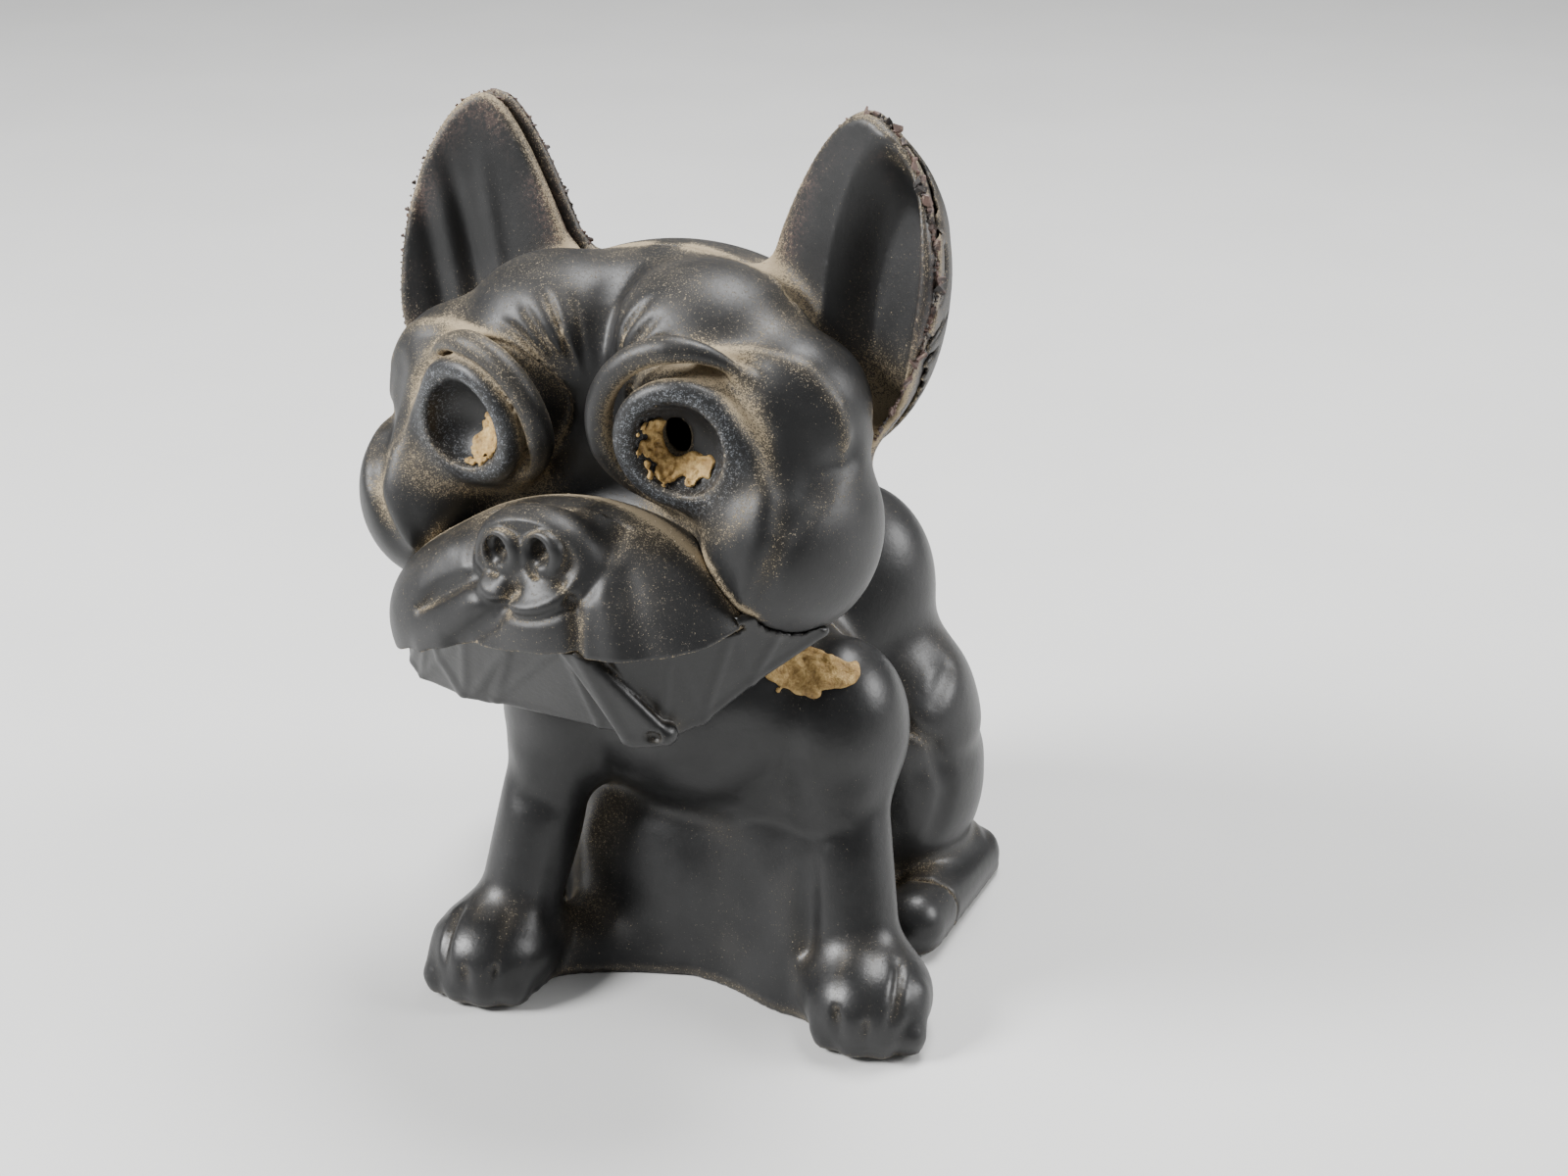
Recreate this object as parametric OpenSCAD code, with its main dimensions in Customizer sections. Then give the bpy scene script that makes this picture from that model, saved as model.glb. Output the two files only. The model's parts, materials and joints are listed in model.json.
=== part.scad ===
// Seated bulldog coin bank: a hollow moulded body in two halves on a base
// plate, a hollow head in two halves that swivels on a neck spigot, and a
// rubber trap plug under the base. The dog looks along -Y, +Z is up.
// Millimetres. The origin is on the table, under the middle of the outline.

/* [Body] */
// width across the hind feet
body_width = 67.4; // [50:0.2:90]
// front paws to rump
body_length = 60.5; // [48:0.5:80]
// table to the neck seat
neck_height = 46.5; // [38:0.5:60]
// wall of every moulded shell
wall = 1.6; // [1.2:0.1:2.4]
// Y of the seam between the body halves
body_seam = 0; // [-6:1:8]
// how far each foreleg stands from the middle
leg_spread = 20; // [17:0.5:23]
// radius of a foreleg at the wrist
leg_radius = 5.3; // [4:0.1:7]
// half width of a front paw
paw_radius = 7.8; // [6:0.1:9]

/* [Head] */
// width across the cheeks
head_width = 64; // [54:1:78]
// muzzle to nape
head_depth = 55; // [46:1:66]
// throat to crown, without the ears
head_height = 43; // [36:0.5:52]
// how far the head is turned at rest, negative to the dog's right
head_turn = -16; // [-25:1:25]
// sideways lean of the face over the neck
head_tilt = -5; // [-6:1:6]
// Y of the seam between the head halves
head_seam = -4; // [-8:1:0]
// ear size, 1 is as made
ear_size = 1; // [0.8:0.05:1.2]
// half width of the muzzle piece
muzzle_half_width = 22.5; // [17:0.5:25]
// height of the muzzle dome over the lip line
muzzle_rise = 17; // [13:0.5:20]
// half distance between the eye sockets
eye_offset = 14.2; // [11:0.5:16]
// socket radius
eye_radius = 6; // [4.5:0.25:7]
// socket depth
eye_depth = 4.5; // [3:0.25:6]

/* [Neck bearing] */
// radius of the spigot the head turns on
spigot_radius = 9.1; // [7.5:0.1:11]
// how far the spigot's clamped flange stands out
spigot_flange = 2; // [1.5:0.1:3]
// radial running gap between spigot and collar
running_gap = 0.06; // [0.02:0.01:0.1]
// outer radius of the collar in the head
collar_radius = 12.4; // [11:0.1:13]
// height of the collar bearing
collar_length = 8.1; // [6:0.1:10]
// open air between the neck seat and the head
neck_gap = 1.5; // [1:0.1:2.5]
// radius cleared round the neck in the body
neck_relief = 17.4; // [16.5:0.1:19]

/* [Coin slot and trap] */
// length of the coin slot
slot_length = 30; // [26:0.5:34]
// opening of the coin slot
slot_gap = 4.6; // [4.2:0.1:6]
// height of the slot over the table
slot_height = 41; // [34:0.5:44]
// radius of the coin trap
trap_radius = 14; // [12.5:0.25:15.5]
// Y of the trap centre
trap_y = 5; // [0:0.5:8]
// thickness of the base plate
base_thickness = 3; // [2.4:0.1:4]
// width of the plug flange outside the trap
plug_flange = 2.3; // [1.5:0.1:3]

/* [Frame] */
// X of the neck axis from the middle of the outline
neck_x = 3.9; // [-10:0.1:10]
// Y of the neck axis from the middle of the outline
neck_y = 3.9; // [-10:0.1:10]

/* [Quality] */
// points round each body ring
ring_points = 60; // [48:4:96]
// rings up each shell
ring_count = 22; // [18:2:32]

/* [Hidden] */
$fn = 72;

black = [0.06, 0.065, 0.07];
amber = [0.72, 0.55, 0.27];
kx = body_width / 67.4;
ky = body_length / 60.5;
kz = neck_height / 46.5;
hx = head_width / 64;
hy = head_depth / 55;
hz = head_height / 43;
head_z = neck_height + neck_gap;
body_top = neck_height + 11 * kz;
body_mid = 10 * ky;
head_mid = [0, -6 * hy, 21 * hz];
nape_radius = 15.4;

// ---- clay: soft unions of lumps, traced from outside along a ray ----
function soft(a, b, k) = let (h = max(k - abs(a - b), 0) / k) min(a, b) - h * h * k / 4;
function egg(p, c, r) =
    let (a = (p[0] - c[0]) / r[0], b = (p[1] - c[1]) / r[1], d = (p[2] - c[2]) / r[2],
         m = norm([a, b, d]))
    m * (m - 1) / (norm([a / r[0], b / r[1], d / r[2]]) + 1e-6);
function post(p, a, b, ra, rb) =
    let (ab = b - a, t = max(0, min(1, ((p - a) * ab) / (ab * ab))))
    norm(p - a - t * ab) - (ra + (rb - ra) * t);

// body lumps, dog's left half, mirrored in x
function body_clay(q) =
    let (p = [abs(q[0]) / kx, q[1] / ky, q[2] / kz],
         d0 = egg(p, [0, 13, 26], [24, 17, 29]),                 // trunk
         d1 = soft(d0, egg(p, [12, 15, 41], [10, 10, 13.5]), 4), // shoulder blade
         d2 = soft(d1, egg(p, [0, -4, 34], [18.5, 14, 14.5]), 7), // chest
         d3 = soft(d2, egg(p, [17, -7, 32], [8.5, 9, 12]), 3),   // shoulder
         d4 = soft(d3, post(p, [19, -12, 27], [leg_spread + 1.5, -18, 9], 6, leg_radius), 4),
         d5 = soft(d4, egg(p, [leg_spread + 3.5, -22, 4.5], [paw_radius, 8.5, 6.5]), 3),
         d6 = soft(d5, egg(p, [0, 4, 3], [22, 20, 26]), 6),      // skirt between the legs
         d7 = soft(d6, egg(p, [23, 13, 19], [9, 13, 16]), 2))    // haunch
    soft(d7, post(p, [29.2, 15, 3.5], [26, -3, 3.5], 4.5, 4.5), 3) * min(kx, ky, kz);

// head lumps over the head's own bottom plane
function head_clay(q) =
    let (u = [q[0] * cos(head_tilt) - q[2] * sin(head_tilt), q[1],
              q[0] * sin(head_tilt) + q[2] * cos(head_tilt)],
         p = [abs(u[0]) / hx, u[1] / hy, u[2] / hz],
         d0 = egg(p, [0, -4, 24], [24, 18, 18.5]),                 // skull
         d1 = soft(d0, egg(p, [9.5, -13, 34.5], [11.5, 10, 9]), 3), // forehead dome
         d2 = soft(d1, egg(p, [24, -19, 14.5], [9.5, 12, 13]), 4), // cheek
         d3 = soft(d2, egg(p, [22, -16, 28.5], [8, 9, 9]), 3),      // temple
         d4 = soft(d3, egg(p, [eye_offset, -20, 26.5], [9.5, 9.5, 10]), 3),
         d5 = soft(d4, egg(p, [0, -12, 8], [23, 17, 12]), 5))      // throat
    soft(d5 * min(hx, hy, hz), post(q, [0, 0, -4], [0, 0, 12], nape_radius, nape_radius), 2);

function trace_body(o, v, s, lim, r = 52) =
    let (d = body_clay(o + r * v) + s)
    r < 0.4 ? 0.4 : (d < 0.03 || lim == 0) ? r : trace_body(o, v, s, lim - 1, r - max(d * 0.75, 0.05));
function trace_head(o, v, s, lim, r = 48) =
    let (d = head_clay(o + r * v) + s)
    r < 0.4 ? 0.4 : (d < 0.03 || lim == 0) ? r : trace_head(o, v, s, lim - 1, r - max(d * 0.75, 0.05));

function ring_dir(j) = let (a = 360 * j / ring_points) [cos(a), sin(a), 0];
// one horizontal ring of the body, s is the depth under the outer skin
function body_ring(z, zt, s) =
    [for (j = [0:ring_points - 1]) let (v = ring_dir(j), o = [0, body_mid, zt])
        [o[0], o[1], z] + trace_body(o, v, s, 34) * v];
// a point on the body's skin, a degrees round from +X at height z
function skin(a, z) = let (v = [cos(a), sin(a), 0]) [0, body_mid, z] + trace_body([0, body_mid, z], v, 0, 34) * v;
// outline the base plate drops into
function base_ring(z, cut) =
    [for (j = [0:ring_points - 1]) let (v = ring_dir(j),
        r = min(trace_body([0, body_mid, 0.02], v, wall, 34),
                trace_body([0, body_mid, base_thickness], v, wall, 34)) - cut)
        [0, body_mid, z] + r * v];
// outline the throat plate drops into
function throat_ring(cut) =
    [for (j = [0:ring_points - 1]) let (v = ring_dir(j),
        r = min(trace_head([0, -6 * hy, 0], v, wall, 34),
                trace_head([0, -6 * hy, wall], v, wall, 34)) - cut)
        [0, -6 * hy, 0] + r * v];
function head_ring(i, n, s) =
    let (t = 176 - 172 * i / n)
    [for (j = [0:ring_points - 1]) let (a = 360 * j / ring_points,
        v = [sin(t) * cos(a), sin(t) * sin(a), cos(t)])
        head_mid + trace_head(head_mid, v, s, 34) * v];

module rings(R) {
    n = len(R[0]);
    m = len(R);
    polyhedron(points = [for (r = R) each r],
        faces = concat([[for (j = [0:n - 1]) j]],
            [for (i = [0:m - 2], j = [0:n - 1], k = [0, 1])
                k == 0 ? [i * n + j, (i + 1) * n + j, (i + 1) * n + (j + 1) % n]
                       : [i * n + j, (i + 1) * n + (j + 1) % n, i * n + (j + 1) % n]],
            [[for (j = [n - 1:-1:0]) (m - 1) * n + j]]));
}

module body_outer() {
    rings([for (i = [0:ring_count]) let (z = body_top * (1 - pow(1 - i / ring_count, 1.25)))
        body_ring(z, z, 0)]);
}
module body_inner() {
    top = body_top - wall;
    rings(concat([base_ring(-1, 0), base_ring(base_thickness, 0)],
        [for (i = [1:ring_count - 2]) let (z = base_thickness + (top - base_thickness) * (1 - pow(1 - i / (ring_count - 2), 1.25)))
            body_ring(z, z, wall)]));
}
module head_outer() { rings([for (i = [0:ring_count]) head_ring(i, ring_count, 0)]); }
module head_inner() { rings([for (i = [0:ring_count]) head_ring(i, ring_count, wall)]); }

module half(front, y) {
    translate([-70, front ? y - 100 : y, -60]) cube([140, 100, 240]);
}
module on_table() { translate([neck_x, neck_y, 0]) children(); }
module on_neck() { translate([neck_x, neck_y, head_z]) rotate([0, 0, head_turn]) children(); }
module leaned() { rotate([0, head_tilt, 0]) children(); }
module pair() { children(); mirror([1, 0, 0]) children(); }
module dab(p, r) { translate(p) sphere(r = r, $fn = 8); }
module rod(a, b, ra, rb) { hull() { dab(a, ra); dab(b, rb); } }
module facet(a, b, c, r) { hull() { dab(a, r); dab(b, r); dab(c, r); } }

// ---- body ----
module body_shell(front) {
    difference() {
        intersection() { body_outer(); half(front, body_seam); }
        translate([0, 0, neck_height]) cylinder(r = neck_relief, h = 60);
        difference() {
            body_inner();
            translate([0, 0, neck_height - wall]) cylinder(r = neck_relief + wall, h = 60);
        }
        translate([0, 0, neck_height - 10]) cylinder(r = spigot_radius, h = 20);
        translate([0, 0, neck_height - wall - 1.9]) cylinder(r = spigot_radius + spigot_flange + 0.1, h = 1.9);
        // room for the trap plug
        translate([0, trap_y, -1]) cylinder(r = trap_radius + plug_flange + 0.1, h = 1.1 + base_thickness / 2);
        translate([0, trap_y, -1]) cylinder(r = trap_radius + 0.1, h = base_thickness + 3.1);
        if (!front)
            translate([-slot_length / 2, neck_relief + wall + 0.3, slot_height]) cube([slot_length, 40, slot_gap]);
    }
}
module toes(rear) {
    s = leg_spread + 3.5;
    difference() {
        pair() for (t = [-1.2, -0.2, 0.8, 1.7])
            if (rear) rod([27.5 * kx + t * 2.4, -5.2 * ky, 2.2], [27.5 * kx + t * 2.1, -2 * ky, 3.2], 1.9, 2);
            else rod([kx * s + t * 3.4, -28.4 * ky + abs(t - 0.3) * 1.1, 2.9 * kz], [kx * s + t * 2.8, -24.5 * ky, 6.2 * kz], 2.3, 2.1);
        translate([-60, -60, -10]) cube([120, 120, 10]);
        body_inner();
    }
}
module body_front_shell() {
    color(black) on_table() { body_shell(true); toes(false); }
}
module body_rear_shell() {
    color(black) on_table() {
        body_shell(false);
        // raised lips above and under the coin slot
        difference() {
            for (z = [slot_height - 1.2, slot_height + slot_gap + 1.2], a = [48:14:118])
                rod(skin(a, z), skin(a + 14, z), 1.1, 1.1);
            body_inner();
        }
        // stub of a tail
        difference() {
            for (i = [0:3]) rod(skin(90, 12 * kz) + [0, i - 1, i], skin(90, 12 * kz) + [0, i, i + 1], 3.8 - 0.4 * i, 3.4 - 0.4 * i);
            body_inner();
        }
    }
}
module base_plate() {
    color(black) on_table() difference() {
        linear_extrude(height = base_thickness)
            polygon([for (p = base_ring(0, 0.05)) [p[0], p[1]]]);
        translate([0, trap_y, -1]) cylinder(r = trap_radius, h = base_thickness + 2);
        translate([0, trap_y, -1]) cylinder(r = trap_radius + plug_flange + 0.3, h = 1 + base_thickness / 2);
    }
}
module neck_spigot() {
    color(black) on_table() translate([0, 0, neck_height]) difference() {
        union() {
            translate([0, 0, -wall - 1.8]) cylinder(r = spigot_radius + spigot_flange, h = 1.8);
            translate([0, 0, -wall - 1.8]) cylinder(r = spigot_radius, h = wall + 1.8 + collar_length + 2.6);
        }
        translate([0, 0, -wall - 3]) cylinder(r = spigot_radius - 2.3, h = 30);
    }
}
module retaining_ring() {
    color(black) on_table() translate([0, 0, neck_height + collar_length + 0.6]) difference() {
        cylinder(r = spigot_radius + 2.5, h = 1.4);
        translate([0, 0, -1]) cylinder(r = spigot_radius, h = 4);
    }
}
module neck_cement() {
    color(amber) on_table() difference() {
        for (i = [0:8])
            rod(skin(-64 + 2.4 * i, neck_height - 3.2), skin(-62.5 + 2.4 * i, neck_height - 5.2 - sin(100 * i)), 0.9, 1.1);
        body_outer();
    }
}
module trap_plug() {
    color([0.10, 0.10, 0.10]) on_table() translate([0, trap_y, 0]) difference() {
        union() {
            translate([0, 0, 0.2]) cylinder(r = trap_radius + plug_flange, h = base_thickness / 2 - 0.2);
            translate([0, 0, 0.2]) cylinder(r = trap_radius - 0.05, h = base_thickness + 1.8);
        }
        translate([0, 0, 2.2]) cylinder(r = trap_radius - 2.4, h = base_thickness + 2);
    }
}

// ---- head ----
// rim of an ear, from the inner base over the tip to the outer base
function ear_rim(i) = let (t = [
    [13, -4, 41], [16.8, -1.6, 49], [22, -1.6, 56], [26.8, -2.4, 57.8], [31.8, -4.2, 54.4],
    [35.6, -6.2, 47.4], [36.8, -8, 39], [34.8, -9.4, 30], [28.5, -9, 21.5], [20, -5, 27]][i])
    [t[0] * hx * ear_size, t[1] * hy, t[2] * hz * ear_size];
function ear_heart(back) = [25.5 * hx * ear_size, (back ? 2.6 : -1.2) * hy, 39 * hz * ear_size];
module ear(back) {
    translate([0, back ? 0.95 : -0.95, 0]) for (i = [0:9])
        facet(ear_rim(i), ear_rim((i + 1) % 10), ear_heart(back), 0.85);
}
module ears(back) {
    difference() {
        leaned() pair() ear(back);
        intersection() { head_outer(); half(back, head_seam); }
    }
}
module eye_frame() {
    translate([eye_offset * hx, -28.6 * hy, 27.6 * hz]) rotate([90 + 6, 0, 14]) children();
}
module head_shell(front) {
    difference() {
        union() {
            intersection() { head_outer(); half(front, head_seam); }
            ears(!front);
            if (front) leaned() pair() {
                // rolled eye rim and brow
                eye_frame() rotate_extrude($fn = 28) translate([eye_radius + 1, -0.6]) circle(r = 1.3, $fn = 8);
                for (i = [0:2])
                    rod([(2.5 + 1.6 * i) * hx, -24.6 * hy, (29.5 + 2 * i) * hz], [(5 + 3 * i) * hx, (-21.5 + i) * hy, (37 + 1.3 * i) * hz], 1.2, 0.9);
            }
        }
        // the hollow, less a cup left standing round each socket
        difference() {
            head_inner();
            if (front) leaned() pair() eye_frame()
                translate([0, 0, -eye_depth - wall]) cylinder(r = eye_radius + wall, h = 30, $fn = 32);
        }
        if (front) leaned() pair() eye_frame() translate([0, 0, -eye_depth]) cylinder(r = eye_radius, h = 20, $fn = 32);
        // room for the collar's flange
        translate([0, 0, wall - 0.05]) cylinder(r = collar_radius + 1.3, h = 1.75);
        translate([-60, -60, -40]) cube([120, 120, 40]);
    }
}
module face_shell() {
    color(black) on_neck() head_shell(true);
}
module head_rear_shell() {
    color(black) on_neck() head_shell(false);
}
module muzzle_solid(s) {
    translate([0, -28.5 * hy, 3.4 * hz + (s > 0 ? -0.1 : 0)])
        scale([muzzle_half_width * hx - s, 12.5 * hy - s, muzzle_rise * hz - s]) intersection() {
            sphere(r = 1, $fn = 40);
            translate([-1, -1, 0]) cube(2);
        }
}
module nose() {
    for (i = [0:7]) let (a = 45 * i, b = a + 45)
        rod([5 * cos(a) * hx, -38.6 * hy + 2.6 * abs(sin(a / 2 + 45)), (14.8 + 3 * sin(a)) * hz],
            [5 * cos(b) * hx, -38.6 * hy + 2.6 * abs(sin(b / 2 + 45)), (14.8 + 3 * sin(b)) * hz], 1.6, 1.6);
}
module muzzle() {
    color(black) on_neck() difference() {
        leaned() union() {
            difference() { muzzle_solid(0); muzzle_solid(wall); }
            difference() {
                union() {
                    nose();
                    // fold from the nose down to each lip
                    pair() rod([4.5 * hx, -39 * hy, 11.5 * hz], [13 * hx, -37 * hy, 6 * hz], 1.5, 1.2);
                }
                muzzle_solid(wall);
            }
        }
        head_outer();
    }
}
function jaw_top(i) = [[-19.5, -22, 2.6], [-18.5, -31, 2.6], [-10, -38, 2.6], [0, -39.2, 2.6],
                       [10, -38, 2.6], [18.5, -31, 2.6], [19.5, -22, 2.6]][i];
function jaw_low(i) = [[-15, -22, -2.5], [-14.5, -29, -4.6], [-7, -33.5, -4.2], [0.5, -34.5, -2.4],
                       [8, -32.5, -5.2], [13.5, -29, -3.8], [15, -22, -2.5]][i];
function jaw_at(p) = [p[0] * hx, p[1] * hy, p[2]];
module lower_jaw() {
    color(black) on_neck() difference() {
        leaned() {
            for (i = [0:5]) {
                facet(jaw_at(jaw_top(i)), jaw_at(jaw_top(i + 1)), jaw_at(jaw_low(i)), 0.8);
                facet(jaw_at(jaw_top(i + 1)), jaw_at(jaw_low(i)), jaw_at(jaw_low(i + 1)), 0.8);
                facet(jaw_at(jaw_low(i)), jaw_at(jaw_low(i + 1)), jaw_at([0, -23.5, -1.4]), 0.8);
            }
            rod(jaw_at([0, -37.5, 1]), jaw_at([3.5, -32.5, -4.6]), 1.6, 1.9);
        }
        leaned() muzzle_solid(0);
        head_outer();
        linear_extrude(height = wall) polygon([for (p = throat_ring(0)) [p[0], p[1]]]);
    }
}
module throat_plate() {
    color(black) on_neck() difference() {
        linear_extrude(height = wall) polygon([for (p = throat_ring(0.05)) [p[0], p[1]]]);
        translate([0, 0, -1]) cylinder(r = collar_radius, h = 6);
    }
}
module head_collar() {
    color(black) on_neck() difference() {
        union() {
            translate([0, 0, 0.4 - neck_gap]) cylinder(r = collar_radius, h = collar_length);
            translate([0, 0, wall]) cylinder(r = collar_radius + 1.2, h = 1.6);
        }
        translate([0, 0, -10]) cylinder(r = spigot_radius + running_gap, h = 30);
    }
}
module left_eye_cement() {
    color(amber) on_neck() leaned() eye_frame() translate([0, 0, -eye_depth]) difference() {
        cylinder(r = eye_radius - 0.3, h = 1.3);
        translate([-0.8, 0.6, -1]) cylinder(r = 1.7, h = 4);
    }
}
module right_eye_cement() {
    color(amber) on_neck() leaned() mirror([1, 0, 0]) eye_frame() translate([0, 0, -eye_depth]) difference() {
        cylinder(r = eye_radius - 0.3, h = 1.2);
        translate([1.2, 1.6, 0.5]) cylinder(r = 2.6, h = 4);
    }
}

body_front_shell();
body_rear_shell();
base_plate();
neck_spigot();
retaining_ring();
neck_cement();
face_shell();
head_rear_shell();
muzzle();
lower_jaw();
throat_plate();
head_collar();
left_eye_cement();
right_eye_cement();
trap_plug();
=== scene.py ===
# %% [markdown]
# # A moulded bulldog coin bank
# The real bank is a seated French bulldog in thin black plastic. Its body is
# two moulded halves with a plug in the base, and its head is a second pair of
# halves with a separate muzzle and jaw, turning on a spigot at the neck.
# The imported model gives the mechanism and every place; this script adds the
# dog's real skin round it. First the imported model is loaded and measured.

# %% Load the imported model
import json
import math

import bpy
import numpy as np
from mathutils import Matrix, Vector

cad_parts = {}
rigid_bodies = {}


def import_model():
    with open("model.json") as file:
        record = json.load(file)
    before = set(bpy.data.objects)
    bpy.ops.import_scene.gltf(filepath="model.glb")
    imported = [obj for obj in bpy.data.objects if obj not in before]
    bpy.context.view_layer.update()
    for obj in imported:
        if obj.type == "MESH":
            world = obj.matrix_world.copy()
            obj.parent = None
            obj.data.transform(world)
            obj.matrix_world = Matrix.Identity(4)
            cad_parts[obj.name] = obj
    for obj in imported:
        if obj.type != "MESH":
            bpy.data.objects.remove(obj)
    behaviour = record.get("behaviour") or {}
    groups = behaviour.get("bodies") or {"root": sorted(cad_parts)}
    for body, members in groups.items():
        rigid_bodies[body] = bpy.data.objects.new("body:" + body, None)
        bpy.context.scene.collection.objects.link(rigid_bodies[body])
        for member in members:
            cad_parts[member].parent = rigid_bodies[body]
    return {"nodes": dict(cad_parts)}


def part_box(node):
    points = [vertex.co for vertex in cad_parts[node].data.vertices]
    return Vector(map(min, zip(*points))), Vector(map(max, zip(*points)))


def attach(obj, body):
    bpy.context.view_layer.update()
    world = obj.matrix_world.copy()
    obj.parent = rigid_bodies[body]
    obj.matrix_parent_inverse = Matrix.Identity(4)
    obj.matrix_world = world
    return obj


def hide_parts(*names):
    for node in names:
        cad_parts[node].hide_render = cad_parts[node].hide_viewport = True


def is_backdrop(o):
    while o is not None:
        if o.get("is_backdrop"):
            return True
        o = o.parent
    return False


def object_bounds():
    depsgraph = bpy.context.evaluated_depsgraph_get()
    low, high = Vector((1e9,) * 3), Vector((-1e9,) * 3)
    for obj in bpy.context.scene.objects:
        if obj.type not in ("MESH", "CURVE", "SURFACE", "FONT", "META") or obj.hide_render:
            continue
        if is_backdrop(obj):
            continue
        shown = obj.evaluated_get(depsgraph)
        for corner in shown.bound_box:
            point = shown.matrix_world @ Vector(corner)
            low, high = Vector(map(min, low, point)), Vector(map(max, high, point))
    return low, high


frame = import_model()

import openvdb
from mathutils import Matrix, Vector

cad_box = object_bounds()
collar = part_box("head_collar")
NECK = np.array([(a + b) * 500 for a, b in zip(*collar)], np.float32) * np.array([1, 1, 0], np.float32)
print("packed model, m:", [round(v, 4) for c in cad_box for v in c], "neck axis, mm:", NECK)

# %% [markdown]
# The camera stands a little above the dog and slightly to its left, close
# enough that the head looks large. It aims at a point in the chest.

# %% Camera
AIM = Vector((0.0097, 0.0152, 0.0411))
CAMERA_TURN, CAMERA_RISE, CAMERA_RANGE = math.radians(12.4), math.radians(26.1), 0.3
across, level = math.sin(CAMERA_TURN), -math.cos(CAMERA_TURN)
back = Vector((across * math.cos(CAMERA_RISE), level * math.cos(CAMERA_RISE), math.sin(CAMERA_RISE)))
camera = bpy.data.objects.new("camera", bpy.data.cameras.new("camera"))
camera.data.lens = 54.1
camera.data.clip_start = 0.01
camera.rotation_mode = "QUATERNION"
camera.location = AIM + back * CAMERA_RANGE
camera.rotation_quaternion = (-back).to_track_quat("-Z", "Y")
bpy.context.collection.objects.link(camera)
bpy.context.scene.camera = camera
print("camera at", [round(v, 3) for v in camera.location])

# %% [markdown]
# A moulded figure is one long soft surface, which is hard to build from flat
# polygons. It could be sculpted by hand, or grown from a cage with
# subdivision. Here it is described as clay: soft lumps whose distance to any
# point is a short sum. Lumps melt together where they meet, and a crease or a
# roll is a line pressed into the surface. Lengths are in millimetres from the
# neck axis, and only the finished meshes are turned into metres.

# %% Clay: lumps, melting and pressing
def vec(*v):
    return np.array(v, np.float32)


def egg(p, c, r):
    """Distance to an egg with centre c and half sizes r."""
    q, r = p - vec(*c), vec(*r)
    k = np.linalg.norm(q / r, axis=1)
    return k * (k - 1) / (np.linalg.norm(q / (r * r), axis=1) + 1e-6)


def rod(p, a, b, ra, rb=None):
    """Distance to a round bar from a to b, tapering from ra to rb."""
    a, b, rb = vec(*a), vec(*b), ra if rb is None else rb
    t = np.clip((p - a) @ (b - a) / ((b - a) @ (b - a)), 0, 1)
    return np.linalg.norm(p - a - t[:, None] * (b - a), axis=1) - (ra + (rb - ra) * t)


def melt(a, b, k):
    """Joins two lumps with a fillet of about k."""
    h = np.maximum(k - np.abs(a - b), 0) / k
    return np.minimum(a, b) - h * h * k / 4


def keep(a, b, k):
    """What lies inside both a and b."""
    return -melt(-a, -b, k)


def carve(a, b, k):
    """What is left of a when b is cut out of it."""
    return -melt(-a, b, k)


def press(d, p, pts, width, depth):
    """Presses a crease along pts into the clay, or raises a roll if depth is negative."""
    line = np.array(pts, np.float32)
    near = np.all((p > line.min(0) - 3 * width) & (p < line.max(0) + 3 * width), axis=1)
    if not near.any():
        return d
    g = np.min([rod(p[near], a, b, 0) for a, b in zip(line[:-1], line[1:])], axis=0) / width
    d = d.copy()
    d[near] += depth * np.exp(-g * g)
    return d


def turned(rx=0, ry=0, rz=0):
    """A turn about X, then Y, then Z, in degrees."""
    x, y, z = (Matrix.Rotation(math.radians(angle), 3, axis) for angle, axis in ((rx, "X"), (ry, "Y"), (rz, "Z")))
    return np.array(z @ y @ x, np.float32)


def folded(p):
    """The same point on the dog's left half, so that each lump serves both sides."""
    q = p.copy()
    q[:, 0] = np.abs(q[:, 0])
    return q


def ripple(p, size, seed=0):
    """A slow, smooth unevenness between -1 and 1."""
    x, y, z = (p * (6.2832 / size) + seed).T
    return (np.sin(x + 1.7 * np.sin(y)) + np.sin(y * 1.3 + 1.9 * np.sin(z * 0.8))
            + np.sin(z * 1.1 + 1.5 * np.sin(x * 0.9))) / 3


# %% [markdown]
# The clay has to become a mesh. A grid of boxes is filled with distances, the
# surface is drawn between the inside and outside ones, and each vertex then
# slides onto the exact surface, so that a crease narrower than a box is still
# sharp. Each vertex also keeps the measures that the finish needs later: how
# deep it sits in a hollow and how much dust lies there, how proud it stands,
# where a hand rubs, and how near it is to an eye or to an ear's brown edge.

# %% Clay to mesh
HEAD_Z, TURN, LEAN = 48.0, -16.0, -5.0
UPRIGHT = turned(0, LEAN).T
NECK_TURN = turned(0, 0, TURN).T


def to_metres(points, where):
    """From millimetres at the neck, or in the head's own leaning frame, to the record's frame."""
    if where == "head":
        points = points @ UPRIGHT @ NECK_TURN + vec(0, 0, HEAD_Z)
    return (points + NECK) / 1000


def line_dust(p, lines, width):
    """1 on the lines and fading to 0 over about width."""
    best = np.zeros(len(p), np.float32)
    for line in lines:
        for a, b in zip(line[:-1], line[1:]):
            best = np.maximum(best, np.exp(-(rod(p, a, b, 0) / width) ** 2))
    return best


def slope(clay, p, h=0.12):
    """The clay's gradient, which points outwards."""
    g = np.empty_like(p)
    for i in range(3):
        step = np.zeros(3, np.float32)
        step[i] = h
        g[:, i] = (clay(p + step) - clay(p - step)) / (2 * h)
    return g


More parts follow.
